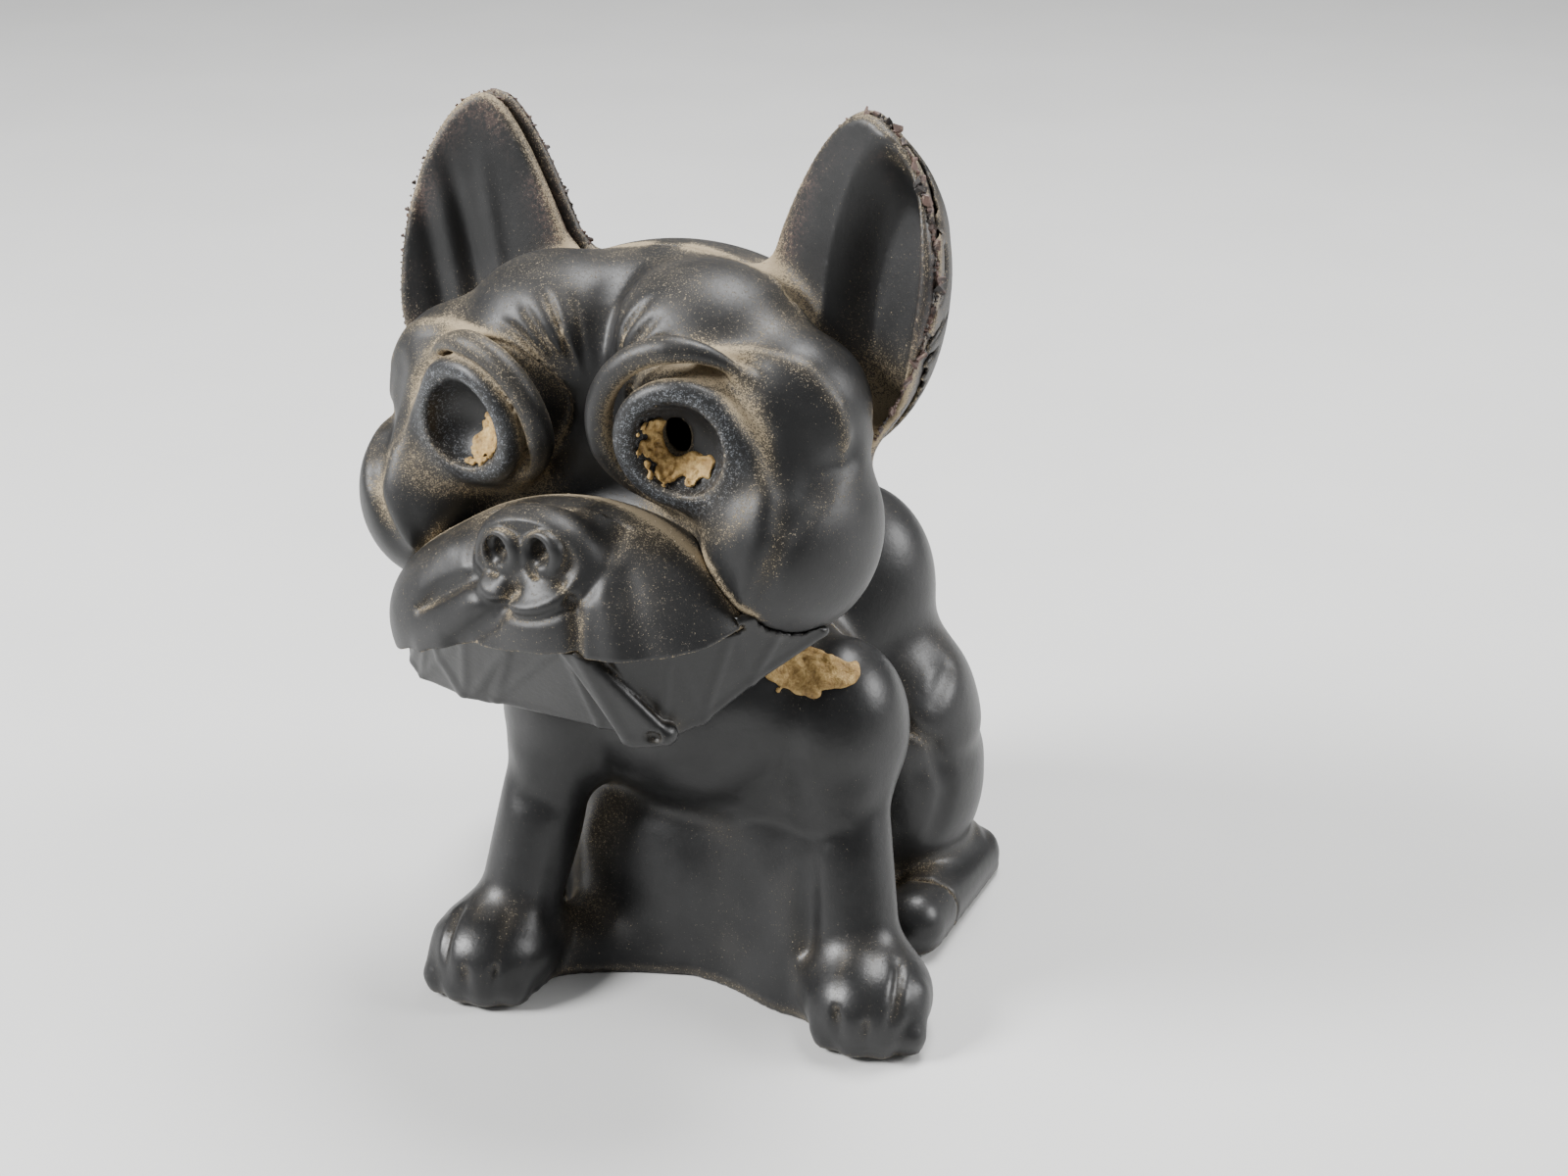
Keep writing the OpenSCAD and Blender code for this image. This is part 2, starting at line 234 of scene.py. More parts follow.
def fill_grid(clay, low, high, voxel, group=4):
    """Distances on a grid, worked out finely only near the surface."""
    coarse = voxel * group
    counts = np.ceil((high - low) / coarse).astype(int)
    axes = [low[i] + coarse * (np.arange(counts[i]) + 0.5) for i in range(3)]
    centres = np.stack(np.meshgrid(*axes, indexing="ij"), -1).reshape(-1, 3).astype(np.float32)
    values = clay(centres).reshape(counts).astype(np.float32)
    for axis in range(3):
        values = np.repeat(values, group, axis)
    near = np.abs(values) < coarse * 1.15
    values[near] = clay((low + (np.argwhere(near) + 0.5) * voxel).astype(np.float32))
    return values


SLIDES, HOLLOW_REACH, PROUD_REACH = 2, 1.5, 0.8


def cast(name, clay, low, high, voxel, where, feel=None, dusty=None):
    """Casts clay as a closed mesh object in its place; feel is the skin that the measures use."""
    low, high = vec(*low), vec(*high)
    grid = openvdb.FloatGrid(background=5.0)
    grid.copyFromArray(fill_grid(clay, low, high, voxel))
    points, quads = grid.convertToQuads(isovalue=0)
    points = (low + (points + 0.5) * voxel).astype(np.float32)
    for _ in range(SLIDES):
        g = slope(clay, points)
        move = (clay(points) / np.maximum((g * g).sum(1), 0.2))[:, None] * g
        points -= np.clip(move, -0.35 * voxel, 0.35 * voxel)
    normals = slope(clay, points)
    normals /= np.linalg.norm(normals, axis=1)[:, None] + 1e-6
    a, b, c = (points[quads[:, i]] for i in (0, 1, 2))
    if (np.cross(b - a, c - a) * normals[quads[:, 0]]).sum() < 0:
        quads = quads[:, ::-1]
    mesh = bpy.data.meshes.new(name)
    mesh.from_pydata(to_metres(points, where).tolist(), [], quads.tolist())
    mesh.validate()
    mesh.shade_smooth()
    feel, bare = feel or clay, np.zeros(len(points), np.float32)
    e, r = eye_place(folded(points))
    measures = {
        # the ring round each eye dish where a pale highlight is painted
        "chalky": np.exp(-((r - 5.8) / 1.7) ** 2) * (np.abs(e[:, 2]) < 6) if where == "head" else bare,
        "browned": line_dust(folded(points), [LEFT_EAR_RIM, RIGHT_EAR_RIM], 2.2) if where == "head" else bare,
        "hollow": np.clip(1 - feel(points + HOLLOW_REACH * normals) / HOLLOW_REACH, 0, 1),
        "proud": np.clip(1 + feel(points - PROUD_REACH * normals) / PROUD_REACH, 0, 1),
        "dusty": bare if dusty is None else dusty(points, normals),
    }
    for key, values in measures.items():
        mesh.attributes.new(key, "FLOAT", "POINT").data.foreach_set("value", values.astype(np.float32))
    piece = bpy.data.objects.new(name, mesh)
    bpy.context.collection.objects.link(piece)
    print(f"{name}: {len(points)} points, {len(quads)} faces")
    return piece

# %% [markdown]
# The head is a wide skull with a low dome over each eye, full cheeks, a round
# mound behind each eye and a thick throat. These few lumps give the whole
# silhouette; the brow, the lids and the frown lines are pressed in after.

# %% Head lumps
HEAD_SEAM = -4.0
WALL = 1.6


def head_lumps(p):
    q = folded(p)
    d = egg(q, (0, -4, 24), (24, 18, 18.5))
    d = melt(d, egg(q, (9.5, -13, 34.5), (11.5, 10, 9)), 3)
    cheek = q + vec(1, 0, 0) * np.where(p[:, :1] > 0, 1.9, -0.6)
    d = melt(d, egg(cheek, (23.8, -18.6, 16), (9.4, 12, 11.6)), 4.5)
    d = melt(d, egg(q, (22, -16, 28.5), (8, 9, 9)), 4)
    d = melt(d, egg(q, (14.2, -20, 27), (9.5, 9.3, 9.5)), 3)
    return melt(d, egg(q, (0, -12, 8), (23, 17, 12)), 5)


# %% [markdown]
# Short frown lines fan up from the dark hollow between the eyes, a brow roll
# runs round each temple, and a deep fold drops from the lid to the cheek.
# They are lines of points, so one function draws them all.

# %% Creases of the face
WRINKLES = [
    [(4.6, -18.2, 43.6), (2.7, -19.6, 38.6), (1.4, -21.2, 31)],
    [(7.4, -19.4, 42.6), (4.6, -20.6, 37.8), (2.3, -21.4, 31.6)],
    [(9.8, -21.2, 41.4), (6.4, -21.8, 37.2), (3.2, -21.6, 32.2)],
    [(12.8, -22.8, 39.3), (8.6, -22.4, 36.9), (4.4, -22, 32.8)],
]
FURROW = [(0, -12, 43.5), (0, -17.5, 40), (0, -20.9, 35), (0, -21.8, 29)]
BROW = [(8, -25.5, 36.5), (14, -24, 37.3), (20, -21, 37), (25.6, -20, 35), (28.8, -19.5, 31), (30, -19.5, 25.5)]
LID_FOLD = [(19.6, -25.4, 33), (23.4, -25.4, 28.6), (26, -26.9, 23.8), (26.2, -29, 19.5), (23.7, -31, 12.6)]
CHEEK_FOLD = [(30.4, -18.6, 25.4), (28.4, -23.4, 24.6), (27, -28, 21)]
CROWN = [(3, -4, 42), (10, -4, 42.4), (17, -4, 38.6)]


def creases(d, q):
    for line in WRINKLES:
        d = press(d, q, line, 0.5, 0.66)
    d = press(d, q, FURROW, 1.7, 1.3)
    d = press(d, q, [(0, -22.5, 27), (0, -24, 21)], 4.0, 2.0)
    d = press(d, q, BROW, 1.0, -0.75)
    d = press(d, q, LID_FOLD, 1.3, 0.9)
    d = press(d, q, [(26, -23, 31), (27.4, -24, 27), (28, -25, 24)], 2.6, 0.9)
    d = press(d, q, [(x - 2.2, y, z - 0.8) for x, y, z in LID_FOLD], 1.2, -0.6)
    return press(d, q, CHEEK_FOLD, 1.5, 1.1)


# %% [markdown]
# Each eye was once glued into a round dish. A thin lid rolls round the dish,
# a second, wider roll stands outside it, and a groove parts the two. Radius
# and angle round the eye's own axis place all three. The dog's left eye has
# a hole at its bottom, where a peg held the eye.

# %% Eye sockets
EYE = vec(14.2, -28.6, 27.6)
EYE_FRAME = turned(96, 0, 14)


def eye_place(q):
    """Places seen from the eye, with its axis as the third number, and their distance from that axis."""
    e = (q - EYE) @ EYE_FRAME
    return e, np.hypot(e[:, 0], e[:, 1])


def peg_hole(p):
    """An upright oval hole through the bottom of the left eye's dish."""
    e = (p - EYE) @ EYE_FRAME
    return np.maximum((np.hypot((e[:, 0] + 1.1) / 1.5, (e[:, 1] + 0.1) / 2.3) - 1) * 1.6, np.abs(e[:, 2] + 5) - 5)


def eye_rings(d, p):
    """Two rolls and a groove round each dish; the dog's left eye has the wider outer roll."""
    e, r = eye_place(folded(p))
    near = (r < 14) & (np.abs(e[:, 2]) < 14)
    e, r, part, left = e[near], r[near], d[near], p[near, 0] > 0
    sweep = np.arctan2(e[:, 1], e[:, 0])
    bar = 1.7 * np.clip(0.35 + np.cos(sweep - 2.5), 0, 1)
    outer = np.hypot(r - np.where(left, 9.9, 8.6), e[:, 2] + np.where(left, 5.0, 4.2) - 0.8 * np.sin(sweep))
    part = melt(part, outer - bar, 1.6)
    part = part + 0.8 * np.exp(-((r - np.where(left, 8.1, 7.5)) / 0.6) ** 2) * np.clip(0.6 + np.cos(sweep - 2.5), 0, 1)
    part = melt(part, np.hypot(r - 6.2, e[:, 2] + 2.1) - 1.4, 1.2)
    part = carve(part, egg(e, (0, 0, 0.1), (5.2, 5.2, 4.6)), 0.6)
    d = d.copy()
    d[near] = part
    return d


# %% [markdown]
# An ear is a thin cupped sheet. Its outline is a ring of points, seen
# square on; the distance to that outline and the distance to a bowed plane
# are combined. The rear half of the head has the same ear, a little larger
# and set just behind, so the two layers show along the edge.

# %% Ears
LEFT_EAR_RIM = vec(
    (12, -5, 38), (13.4, -3.6, 43), (16.8, -2.4, 49.4), (20.6, -2, 54.6), (24.2, -2.2, 57.4),
    (27.6, -2.8, 57.8), (31.6, -4.2, 55), (34.6, -5.8, 50), (36.6, -7.2, 44), (36, -8.6, 38),
    (33.4, -9.6, 31.6), (29.4, -10, 25.6), (25.4, -9.6, 21.4), (20, -8, 24),
)
RIGHT_EAR_RIM = vec(
    (12, -5, 38), (14.4, -3.6, 43), (17.2, -2.4, 48.8), (19.8, -2, 54), (22.4, -2.2, 57.8),
    (25.2, -2.8, 58.6), (28.6, -4.2, 56), (31.6, -5.8, 51), (33.6, -7.2, 45), (34.6, -8.6, 38),
    (34.2, -9.6, 32), (31, -10, 25.6), (27, -9.6, 21), (20, -8, 24),
)
EAR_SPOT = vec(25.5, -5.4, 39)
EAR_FRAME = turned(-11.5, 0, -18)


def rounded(corners, steps=3):
    """A smooth ring through the corners, with steps points for each."""
    ring = []
    for i in range(len(corners)):
        a, b, c, d = (corners[(i + k) % len(corners)] for k in (-1, 0, 1, 2))
        for t in np.arange(steps) / steps:
            ring.append(b + 0.5 * t * (c - a + t * (2 * a - 5 * b + 4 * c - d + t * (3 * (b - c) + d - a))))
    return np.array(ring, np.float32)


LEFT_EAR_RIM, RIGHT_EAR_RIM = rounded(LEFT_EAR_RIM), rounded(RIGHT_EAR_RIM)


def ear_outline(flat, corners):
    """Signed distance in the ear's own plane to its outline, below 0 inside."""
    rim = ((corners - EAR_SPOT) @ EAR_FRAME)[:, [0, 2]]
    edge = np.full(len(flat), 1e9, np.float32)
    inside = np.zeros(len(flat), bool)
    for a, b in zip(rim, np.roll(rim, -1, 0)):
        t = np.clip((flat - a) @ (b - a) / ((b - a) @ (b - a)), 0, 1)
        edge = np.minimum(edge, np.linalg.norm(flat - a - t[:, None] * (b - a), axis=1))
        reach = (b[0] - a[0]) * (flat[:, 1] - a[1]) / (b[1] - a[1] + 1e-9) + a[0]
        inside ^= ((a[1] > flat[:, 1]) != (b[1] > flat[:, 1])) & (flat[:, 0] < reach)
    return np.where(inside, -edge, edge)


def ear_sheet(p, grow=0.0, lift=0.0, thick=1.1, inward=0.0):
    """Both ears' sheets; lift sets them behind the front ones, inward nearer the crown."""
    out = np.full(len(p), 6, np.float32)
    for side, corners in ((1, LEFT_EAR_RIM), (-1, RIGHT_EAR_RIM)):
        near = (p[:, 0] * side > 4) & (p[:, 2] > 12)
        e = (p[near] * vec(side, 1, 1) - EAR_SPOT) @ EAR_FRAME
        x, z = e[:, 0], e[:, 2]
        edge = ear_outline(e[:, [0, 2]] + vec(inward, 0), corners) - grow
        if side > 0:
            bowl = np.clip((1.12 - np.hypot((x - 3.4 - 0.06 * z) / 6.4, (z + 0.5) / 16.5)) / 0.55, 0, 1)
            ridge = 0.3 * np.exp(-((x - 6.6 - 0.1 * z) / 0.8) ** 2) * bowl
            cup = 5.2 * bowl * bowl * (3 - 2 * bowl) - ridge
        else:
            cup = 2.0 * np.exp(-((x - 2) / 7.0) ** 2 - ((z + 2) / 16.0) ** 2)
            for ridge, lean, up in ((-2.6, 0.10, -0.4), (0.8, 0.16, 0.5), (3.0, 0.1, -0.45), (5.6, 0.12, 0.45)):
                cup = cup + up * np.exp(-((x - ridge - lean * z) / 1.1) ** 2) * np.clip((14 - z) / 8, 0, 1)
        out[near] = keep(edge, np.abs(e[:, 1] - cup + 1.5 - lift) - thick, 1.0)
    return out


# %% [markdown]
# Two halves make the head: the face with the front of both ears, and the back
# of the skull with the back of the ears. Each is hollow, with a wall as thick
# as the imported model's, and both are cut level where the throat plate sits.

# %% Face and back of the head
def head_skin(p, detail=True):
    q = folded(p)
    d = head_lumps(p)
    if detail:
        d = creases(d, q)
    return eye_rings(d, p)


def nape(p):
    """The upright round neck under the skull."""
    return rod(p @ UPRIGHT, (0, 0, -4), (0, 0, 12), 15.4)


def below_neck(p):
    """Above 0 under the level cut at the neck."""
    return -(p @ UPRIGHT)[:, 2]


EAR_PLEATS = [
    [(22.4, -13, 34), (25.4, -12.4, 28), (27.4, -12, 22.6)],
    [(26.6, -11.6, 28), (28.6, -11.6, 24), (29.6, -11.2, 20.6)],
    [(29.6, -10.6, 27), (31.4, -10.8, 24.6), (32.6, -10.6, 23)],
]
EAR_CREASE = [(13.6, -8, 41), (17.8, -9.4, 39), (20.6, -11.6, 35), (23.4, -13.6, 30), (26.6, -14.4, 25.4)]


def face_solid(p):
    q = folded(p)
    d = melt(head_skin(p), nape(p), 2)
    d = keep(d, p[:, 1] - HEAD_SEAM, 0.5)
    d = melt(d, ear_sheet(p), 2.4)
    for line in EAR_PLEATS:
        d = press(d, q, line, 0.8, 1.1)
    d = press(d, q, EAR_CREASE, 0.7, 0.8)
    d = press(d, q, [(x + 1.5, y, z + 0.4) for x, y, z in EAR_CREASE], 0.8, -0.4)
    return keep(d, below_neck(p), 0.4)


def head_hollow(p):
    """The space inside, kept a little under the bottom of every crease too."""
    return np.maximum(melt(head_skin(p, False), nape(p), 2) + WALL, head_skin(p) + 1.0)


def face_clay(p):
    d = carve(face_solid(p), head_hollow(p), 0.3)
    return carve(d, peg_hole(p), 0.2)


def back_solid(p):
    q = folded(p)
    d = melt(head_skin(p, False), nape(p), 2)
    d = keep(d, HEAD_SEAM + 0.05 - p[:, 1], 0.5)
    d = melt(d, ear_sheet(p, 0.35, 1.6, 0.8, 1.1), 1.6)
    d = press(d, q, [(0, 14.5, 14), (8, 13, 12), (13.5, 6, 12)], 0.9, 0.7)
    d = press(d, q, [(0, 15, 8.5), (8, 13.4, 6.6), (14, 6, 6.5)], 0.9, 0.7)
    return keep(d, below_neck(p), 0.4)


def back_clay(p):
    return carve(carve(back_solid(p), head_hollow(p), 0.3), face_solid(p) - 0.06, 0.1)


# %% [markdown]
# The muzzle is a separate moulding that laps over the face: a half egg with a
# button nose, two flews that fold down from it, and a thin lip all round.
# Its nostrils are pits with a raised ring round each.

# %% Muzzle
NOSE = (-0.6, -34.6, 17.2)
LIP_X = [-27, -24, -20, -15, -8.4, -2.5, 3.7, 5.9, 7.2, 12, 16.4, 19, 21, 24]
LIP_Z = [0.8, 1.6, 3.0, 4.7, 6.7, 7.3, 7.9, 8.1, 7.3, 7.5, 7.5, 8.0, 8.8, 9.2]
FLEWS = [
    ([(-13.4, -33.9, 15), (-16.4, -34.8, 11.3), (-19.3, -34.4, 7)], 2.4, -0.7),
    ([(-6.8, -37.2, 14.5), (-13, -37, 11.1), (-15.9, -36.4, 8.8)], 1.0, 0.9),
    ([(-3.8, -38.1, 13.8), (-8.3, -38.7, 10.6), (-11.9, -38.6, 7.6), (-14.6, -37.8, 4.8)], 1.9, -1.2),
    ([(-1.6, -38.4, 13.4), (-4.7, -39.6, 10.3), (-9.9, -39.4, 6.4)], 1.2, 1.4),
    ([(4.2, -37.6, 14.7), (6.1, -38.7, 12.2), (6.4, -39.9, 7.4)], 0.8, 0.8),
    ([(7.8, -35.4, 16.3), (9.2, -37.5, 13), (11.1, -38.7, 7.6)], 1.8, -0.6),
    ([(10.4, -35.2, 15.6), (12.2, -37.0, 11.5), (13.8, -38, 7.4)], 1.8, 0.4),
]


def muzzle_lumps(p):
    d = egg(p, (0, -28.5, 3.4), (22.5, 12.5, 17))
    return melt(d, egg(p, (-15.5, -29.3, 4.5), (9.6, 8.0, 9)), 4)


def muzzle_solid(p):
    d = muzzle_lumps(p)
    d = melt(d, egg(p, (1.6, -37.2, 9.8), (4.4, 3.0, 5.4)), 3)
    for line, width, depth in FLEWS:
        d = press(d, p, line, width, depth)
    boss = np.hypot((p[:, 0] + 0.6) / 7.4, (p[:, 2] - 17) / 4.7)
    d = melt(d, egg(p, NOSE, (7.4, 2.9, 4.9)), 2.0)
    front = p[:, 1] < -30
    groove, ring = np.exp(-((boss - 1.2) / 0.12) ** 2), np.exp(-((boss - 0.92) / 0.15) ** 2)
    d = d + front * (0.35 * groove - 0.5 * ring)
    for x, z in ((-3.9, 17.6), (1.5, 18.0)):
        r = np.hypot(p[:, 0] - x, p[:, 2] - z)
        turn = np.arctan2(p[:, 2] - z, p[:, 0] - x)
        curl = 0.9 * np.clip(0.75 + 0.5 * np.cos(turn + 0.6), 0, 1)
        d = melt(d, np.hypot(r - 2.1, p[:, 1] + 37.3) - curl, 0.5)
        d = carve(d, egg(p, (x - 0.2, -38.2, z + 0.2), (1.25, 2.4, 1.35)), 0.4)
        d = press(d, p, [(x - 0.2, -38.2, z), (x - 1.2, -37.8, z - 1.6), (x - 0.2, -37.8, z - 2.6)], 0.5, 0.6)
    return d


def lip(p):
    """Height of the lip's edge, which sags at the dog's right."""
    return np.interp(p[:, 0], LIP_X, LIP_Z).astype(np.float32) + 0.2 * ripple(p, 7)


def muzzle_clay(p):
    d = keep(muzzle_solid(p), lip(p) - p[:, 2], 0.3)
    inner = np.maximum(muzzle_lumps(p) + WALL - 0.5, muzzle_solid(p) + 0.9)
    d = carve(d, inner, 0.3)
    return carve(d, melt(head_skin(p, False), nape(p), 2) - 0.08, 0.15)


# %% [markdown]
# Under the lip the jaw has buckled. Heat or pressure left it in flat facets
# with hard ridges, and one ridge ends in a rounded stub. Thick triangles that
# share corners give such a crumpled sheet directly.

# %% Crumpled jaw
def facet(p, a, b, c, r):
    """Distance to a flat triangle that is 2r thick."""
    a, b, c = vec(*a), vec(*b), vec(*c)
    n = np.cross(b - a, c - a)
    height = (p - a) @ (n / np.linalg.norm(n))
    inside = np.ones(len(p), bool)
    rim = np.full(len(p), 1e9, np.float32)
    for s, t in ((a, b), (b, c), (c, a)):
        inside &= (p - s) @ np.cross(n, t - s) > 0
        rim = np.minimum(rim, rod(p, s, t, 0))
    return np.where(inside, np.abs(height), rim) - r


JAW_TOP = [
    (-24.2, -29.6, 3.4), (-17.4, -34.2, 5.6), (-9.6, -37.8, 7.6), (-2.6, -38.6, 8.2), (4.2, -38.8, 8.8),
    (9, -37.4, 8.6), (15, -34.8, 8.6), (20.2, -30.2, 9.6), (25, -25.6, 10.2),
]
JAW_LOW = [
    (-23.4, -30.6, -1.6), (-21.4, -31.6, -3.0), (-15.2, -32.4, -4.9), (-10.2, -33.2, -2.9), (4.6, -34.2, -3.0),
    (11.6, -33.6, -3.9), (15.6, -31, -2.2), (20.0, -27.6, 1.6), (26.4, -22, 6.0),
]
JAW_BACK = [
    (-18, -20, -0.4), (-16, -20, -2.4), (-13, -20, -3), (-8, -21, -2.4), (0, -21, -2.4),
    (8, -21, -2.6), (13, -20, -2), (17, -20, 0.4), (19, -20, 2),
]


def jaw_clay(p):
    d = np.full(len(p), 20, np.float32)
    for i in range(len(JAW_TOP) - 1):
        for tri in ((JAW_TOP[i], JAW_TOP[i + 1], JAW_LOW[i]), (JAW_TOP[i + 1], JAW_LOW[i + 1], JAW_LOW[i]),
                    (JAW_LOW[i], JAW_LOW[i + 1], JAW_BACK[i]), (JAW_LOW[i + 1], JAW_BACK[i + 1], JAW_BACK[i])):
            d = melt(d, facet(p, *tri, 0.6), 0.5)
    d = melt(d, facet(p, (4.4, -39, 8.4), (6.4, -38.8, 7.4), (9.2, -35.8, -3.2), 0.9), 0.6)
    d = melt(d, facet(p, (6.4, -38.8, 7.4), (13.2, -35.2, -2.6), (9.2, -35.8, -3.2), 0.9), 0.6)
    d = melt(d, rod(p, (9.6, -35.4, -3.2), (13.2, -34.6, -2.9), 1.5, 1.3), 0.5)
    d = carve(d, egg(p, (12.6, -36.4, -2.7), (1.0, 0.9, 0.8)), 0.3)
    d = press(d, p, [(-17, -35, 4.6), (-15.6, -34, 0), (-14.8, -33.4, -3.4)], 0.7, -0.5)
    d = carve(d, face_solid(p) - 0.08, 0.1)
    d = carve(d, muzzle_clay(p) - 0.1, 0.1)
    return keep(d, below_neck(p) - 4.9, 0.3)


# %% [markdown]
# The body is a pear-shaped trunk with shoulder blades, a full chest, round
# haunches and straight front legs, and the space between the legs is a moulded
# skirt. A ledge is cleared round the neck so that the head can turn.

# %% Body lumps
NECK_Z, NECK_RELIEF, SPIGOT = 46.5, 17.4, 9.1
SLOT_Z, SLOT_GAP, SLOT_LENGTH = 41.0, 4.6, 30.0


def body_lumps(p):
    q = folded(p)
    d = egg(q, (0, 13, 26), (24, 17, 29))
    d = melt(d, egg(q, (13.8, 15, 41), (10.8, 10, 13.5)), 5)
    d = melt(d, egg(q, (0, 4, 3), (22, 20, 26)), 6)
    d = melt(d, rod(p, (10.5, -9.5, 22), (14.5, -15.5, 0), 5, 6.5), 8)
    d = melt(d, rod(q, (18.5, -12, 26), (21.5, -18, 9), 5.2, 5.0), 8)
    d = melt(d, rod(q, (0, -10.5, -1), (17, -15, -1), 4.5, 5.5), 5)
    d = melt(d, egg(q, (0, -4, 34), (18.5, 14, 14.5)), 3.5)
    d = melt(d, egg(q, (17, -7.5, 32.5), (8.3, 9.2, 11.5)), 2.5)
    d = melt(d, egg(q, (23.5, -22, 4.5), (7.8, 8.5, 6.5)), 3)
    d = melt(d, egg(q, (22.8, 13, 15), (9.2, 12.5, 13)), 4)
    d = melt(d, egg(q, (22.6, 12.5, 25.5), (8.0, 10.5, 10)), 5)
    return melt(d, rod(q, (30.2, 15, 2.5), (26, -4, 3.5), 4.2, 4.2), 2.5)


# %% [markdown]
# Four toes are parted by grooves on each front paw and hint at claws. A fold
# runs down behind the shoulder, another round the haunch, and the belly line
# dips between the legs. The coin slot has soft lips above and below it.

# %% Body details
FRONT_TOES = [(19.6, 1.0), (23.0, 0.2), (26.4, 0.5), (29.2, 1.7)]


def body_skin(p):
    q = folded(p)
    d = body_lumps(p)
    for x, inset in FRONT_TOES:
        d = melt(d, rod(q, (x, -28.2 + inset, 2.7), (x - 0.3, -25 + inset, 6.2), 2.15, 2.0), 0.8)
    for a, b in zip(FRONT_TOES[:-1], FRONT_TOES[1:]):
        x = (a[0] + b[0]) / 2
        groove = [(x, -31.5, 1.5), (x - 0.1, -30, 5.4), (x - 0.2, -26.6, 8.4), (x - 0.3, -23, 10.2)]
        d = press(d, q, groove, 0.6, 0.75)
    d = press(d, q, [(0, -16.4, 23.6), (8, -15, 22.4), (15, -17, 22.6), (21, -18.4, 24.4), (24, -15, 27)], 1.8, 0.45)
    d = press(d, q, [(24.4, -1, 42), (25.2, -1.6, 36), (24.6, -2, 30), (24.2, -5, 24), (24.6, -10, 18), (25.4, -13, 10)], 1.3, 0.9)
    d = press(d, q, [(20.6, 2.6, 30), (26.4, 4.2, 25), (29, 3.4, 19), (28, 1.2, 12.6), (26.4, -1, 8.6)], 1.3, 1.0)
    d = press(d, q, [(22.4, 3, 42), (25.6, 6.6, 37), (27.6, 9.5, 33.4), (27, 4.4, 31), (25, -0.6, 33)], 1.3, 0.5)
    d = press(d, q, [(26.5, 2.5, 22.6), (30.5, 8, 21.4), (31.6, 14, 21), (29, 22, 22)], 1.9, 0.45)
    d = press(d, q, [(28.8, 0, 7.8), (31.6, 7, 6.6), (33.4, 14, 5.8), (30.4, 22, 6.6)], 0.9, 0.9)
    d = press(d, q, [(14.4, -18.6, 25), (15.2, -20, 17), (16, -20.5, 9)], 1.6, 0.7)
    d = press(d, q, [(6.5, -17.6, 35), (9, -18.6, 28), (10.6, -18.5, 21)], 3.0, 0.6)
    d = press(d, q, [(10, 27.4, 12), (15, 25.8, 20), (17, 24, 30), (15, 22, 40)], 1.6, 0.5)
    d = melt(d, rod(q, (0, 28.6, 10), (0, 31.6, 13.6), 3.6, 2.4), 2)
    for z in (SLOT_Z - 1.2, SLOT_Z + SLOT_GAP + 1.2):
        d = press(d, q, [(0, 27.8, z), (9, 25.6, z), (15.6, 21.4, z)], 1.3, -0.75)
    rim = np.clip(1 - np.abs(p[:, 2] - 0.8) / 1.3, 0, 1)
    return d - 0.35 * rim * rim


def body_solid(p):
    """The outer skin with its neck ledge, standing on the table."""
    ledge = keep(NECK_Z - p[:, 2], np.hypot(p[:, 0], p[:, 1]) - NECK_RELIEF, 0.4)
    return keep(carve(body_skin(p), ledge, 0.5), -p[:, 2], 0.3)


def body_hollow(p):
    """The space inside the walls: open underneath, and closed under the neck ledge."""
    d = np.maximum(body_lumps(p) + WALL, body_skin(p) + 1.1)
    seat = keep(NECK_Z - WALL - p[:, 2], np.hypot(p[:, 0], p[:, 1]) - NECK_RELIEF - WALL, 0.3)
    return carve(d, seat, 0.4)


def body_wall(p):
    d = carve(body_solid(p), body_hollow(p), 0.3)
    d = carve(d, np.maximum(np.hypot(p[:, 0], p[:, 1]) - SPIGOT - 0.04, np.abs(p[:, 2] - NECK_Z) - 8), 0.15)
    pocket = np.maximum(np.hypot(p[:, 0], p[:, 1]) - SPIGOT - 2.1, np.abs(p[:, 2] - NECK_Z + WALL + 0.95) - 0.95)
    return carve(d, pocket, 0.1)


def seam_y(p):
    """Where front and rear meet: upright in the real bank, with a slight wander."""
    return p[:, 1] + 0.12 * ripple(p * vec(1, 0, 1), 24)


def front_clay(p):
    return keep(body_wall(p), seam_y(p) + 0.03, 0.35)


def rear_clay(p):
    d = keep(body_wall(p), 0.03 - seam_y(p), 0.35)
    across, up = np.abs(p[:, 0]) - SLOT_LENGTH / 2, np.abs(p[:, 2] - SLOT_Z - SLOT_GAP / 2) - SLOT_GAP / 2
    slot = np.maximum(across, up)
    return carve(d, np.maximum(slot, NECK_RELIEF + WALL + 0.3 - p[:, 1]), 0.6)


# %% [markdown]
# A finish is a small network of shader nodes. One class wraps a node's output
# so that sums are written as plain Python, and one method makes any node.

# %% Shader maths
class Wire:
    """A node's output that can be used in a sum."""

    def __init__(self, finish, socket):
        self.finish, self.socket = finish, socket

    def maths(self, operation, *values):
        return self.finish.node("ShaderNodeMath", {"operation": operation}, dict(enumerate(values)))

    def __add__(self, other):
        return self.maths("ADD", self, other)

    def __mul__(self, other):
        return self.maths("MULTIPLY", self, other)

    def __sub__(self, other):
        return self.maths("SUBTRACT", self, other)

    def __rsub__(self, other):
        return self.maths("SUBTRACT", other, self)

    __radd__, __rmul__ = __add__, __mul__

    def band(self, low, high):
        """0 below low, 1 above high, and a smooth slope between."""
        ends = {"Value": self, "From Min": low, "From Max": high}
        return self.finish.node("ShaderNodeMapRange", {"interpolation_type": "SMOOTHSTEP"}, ends)


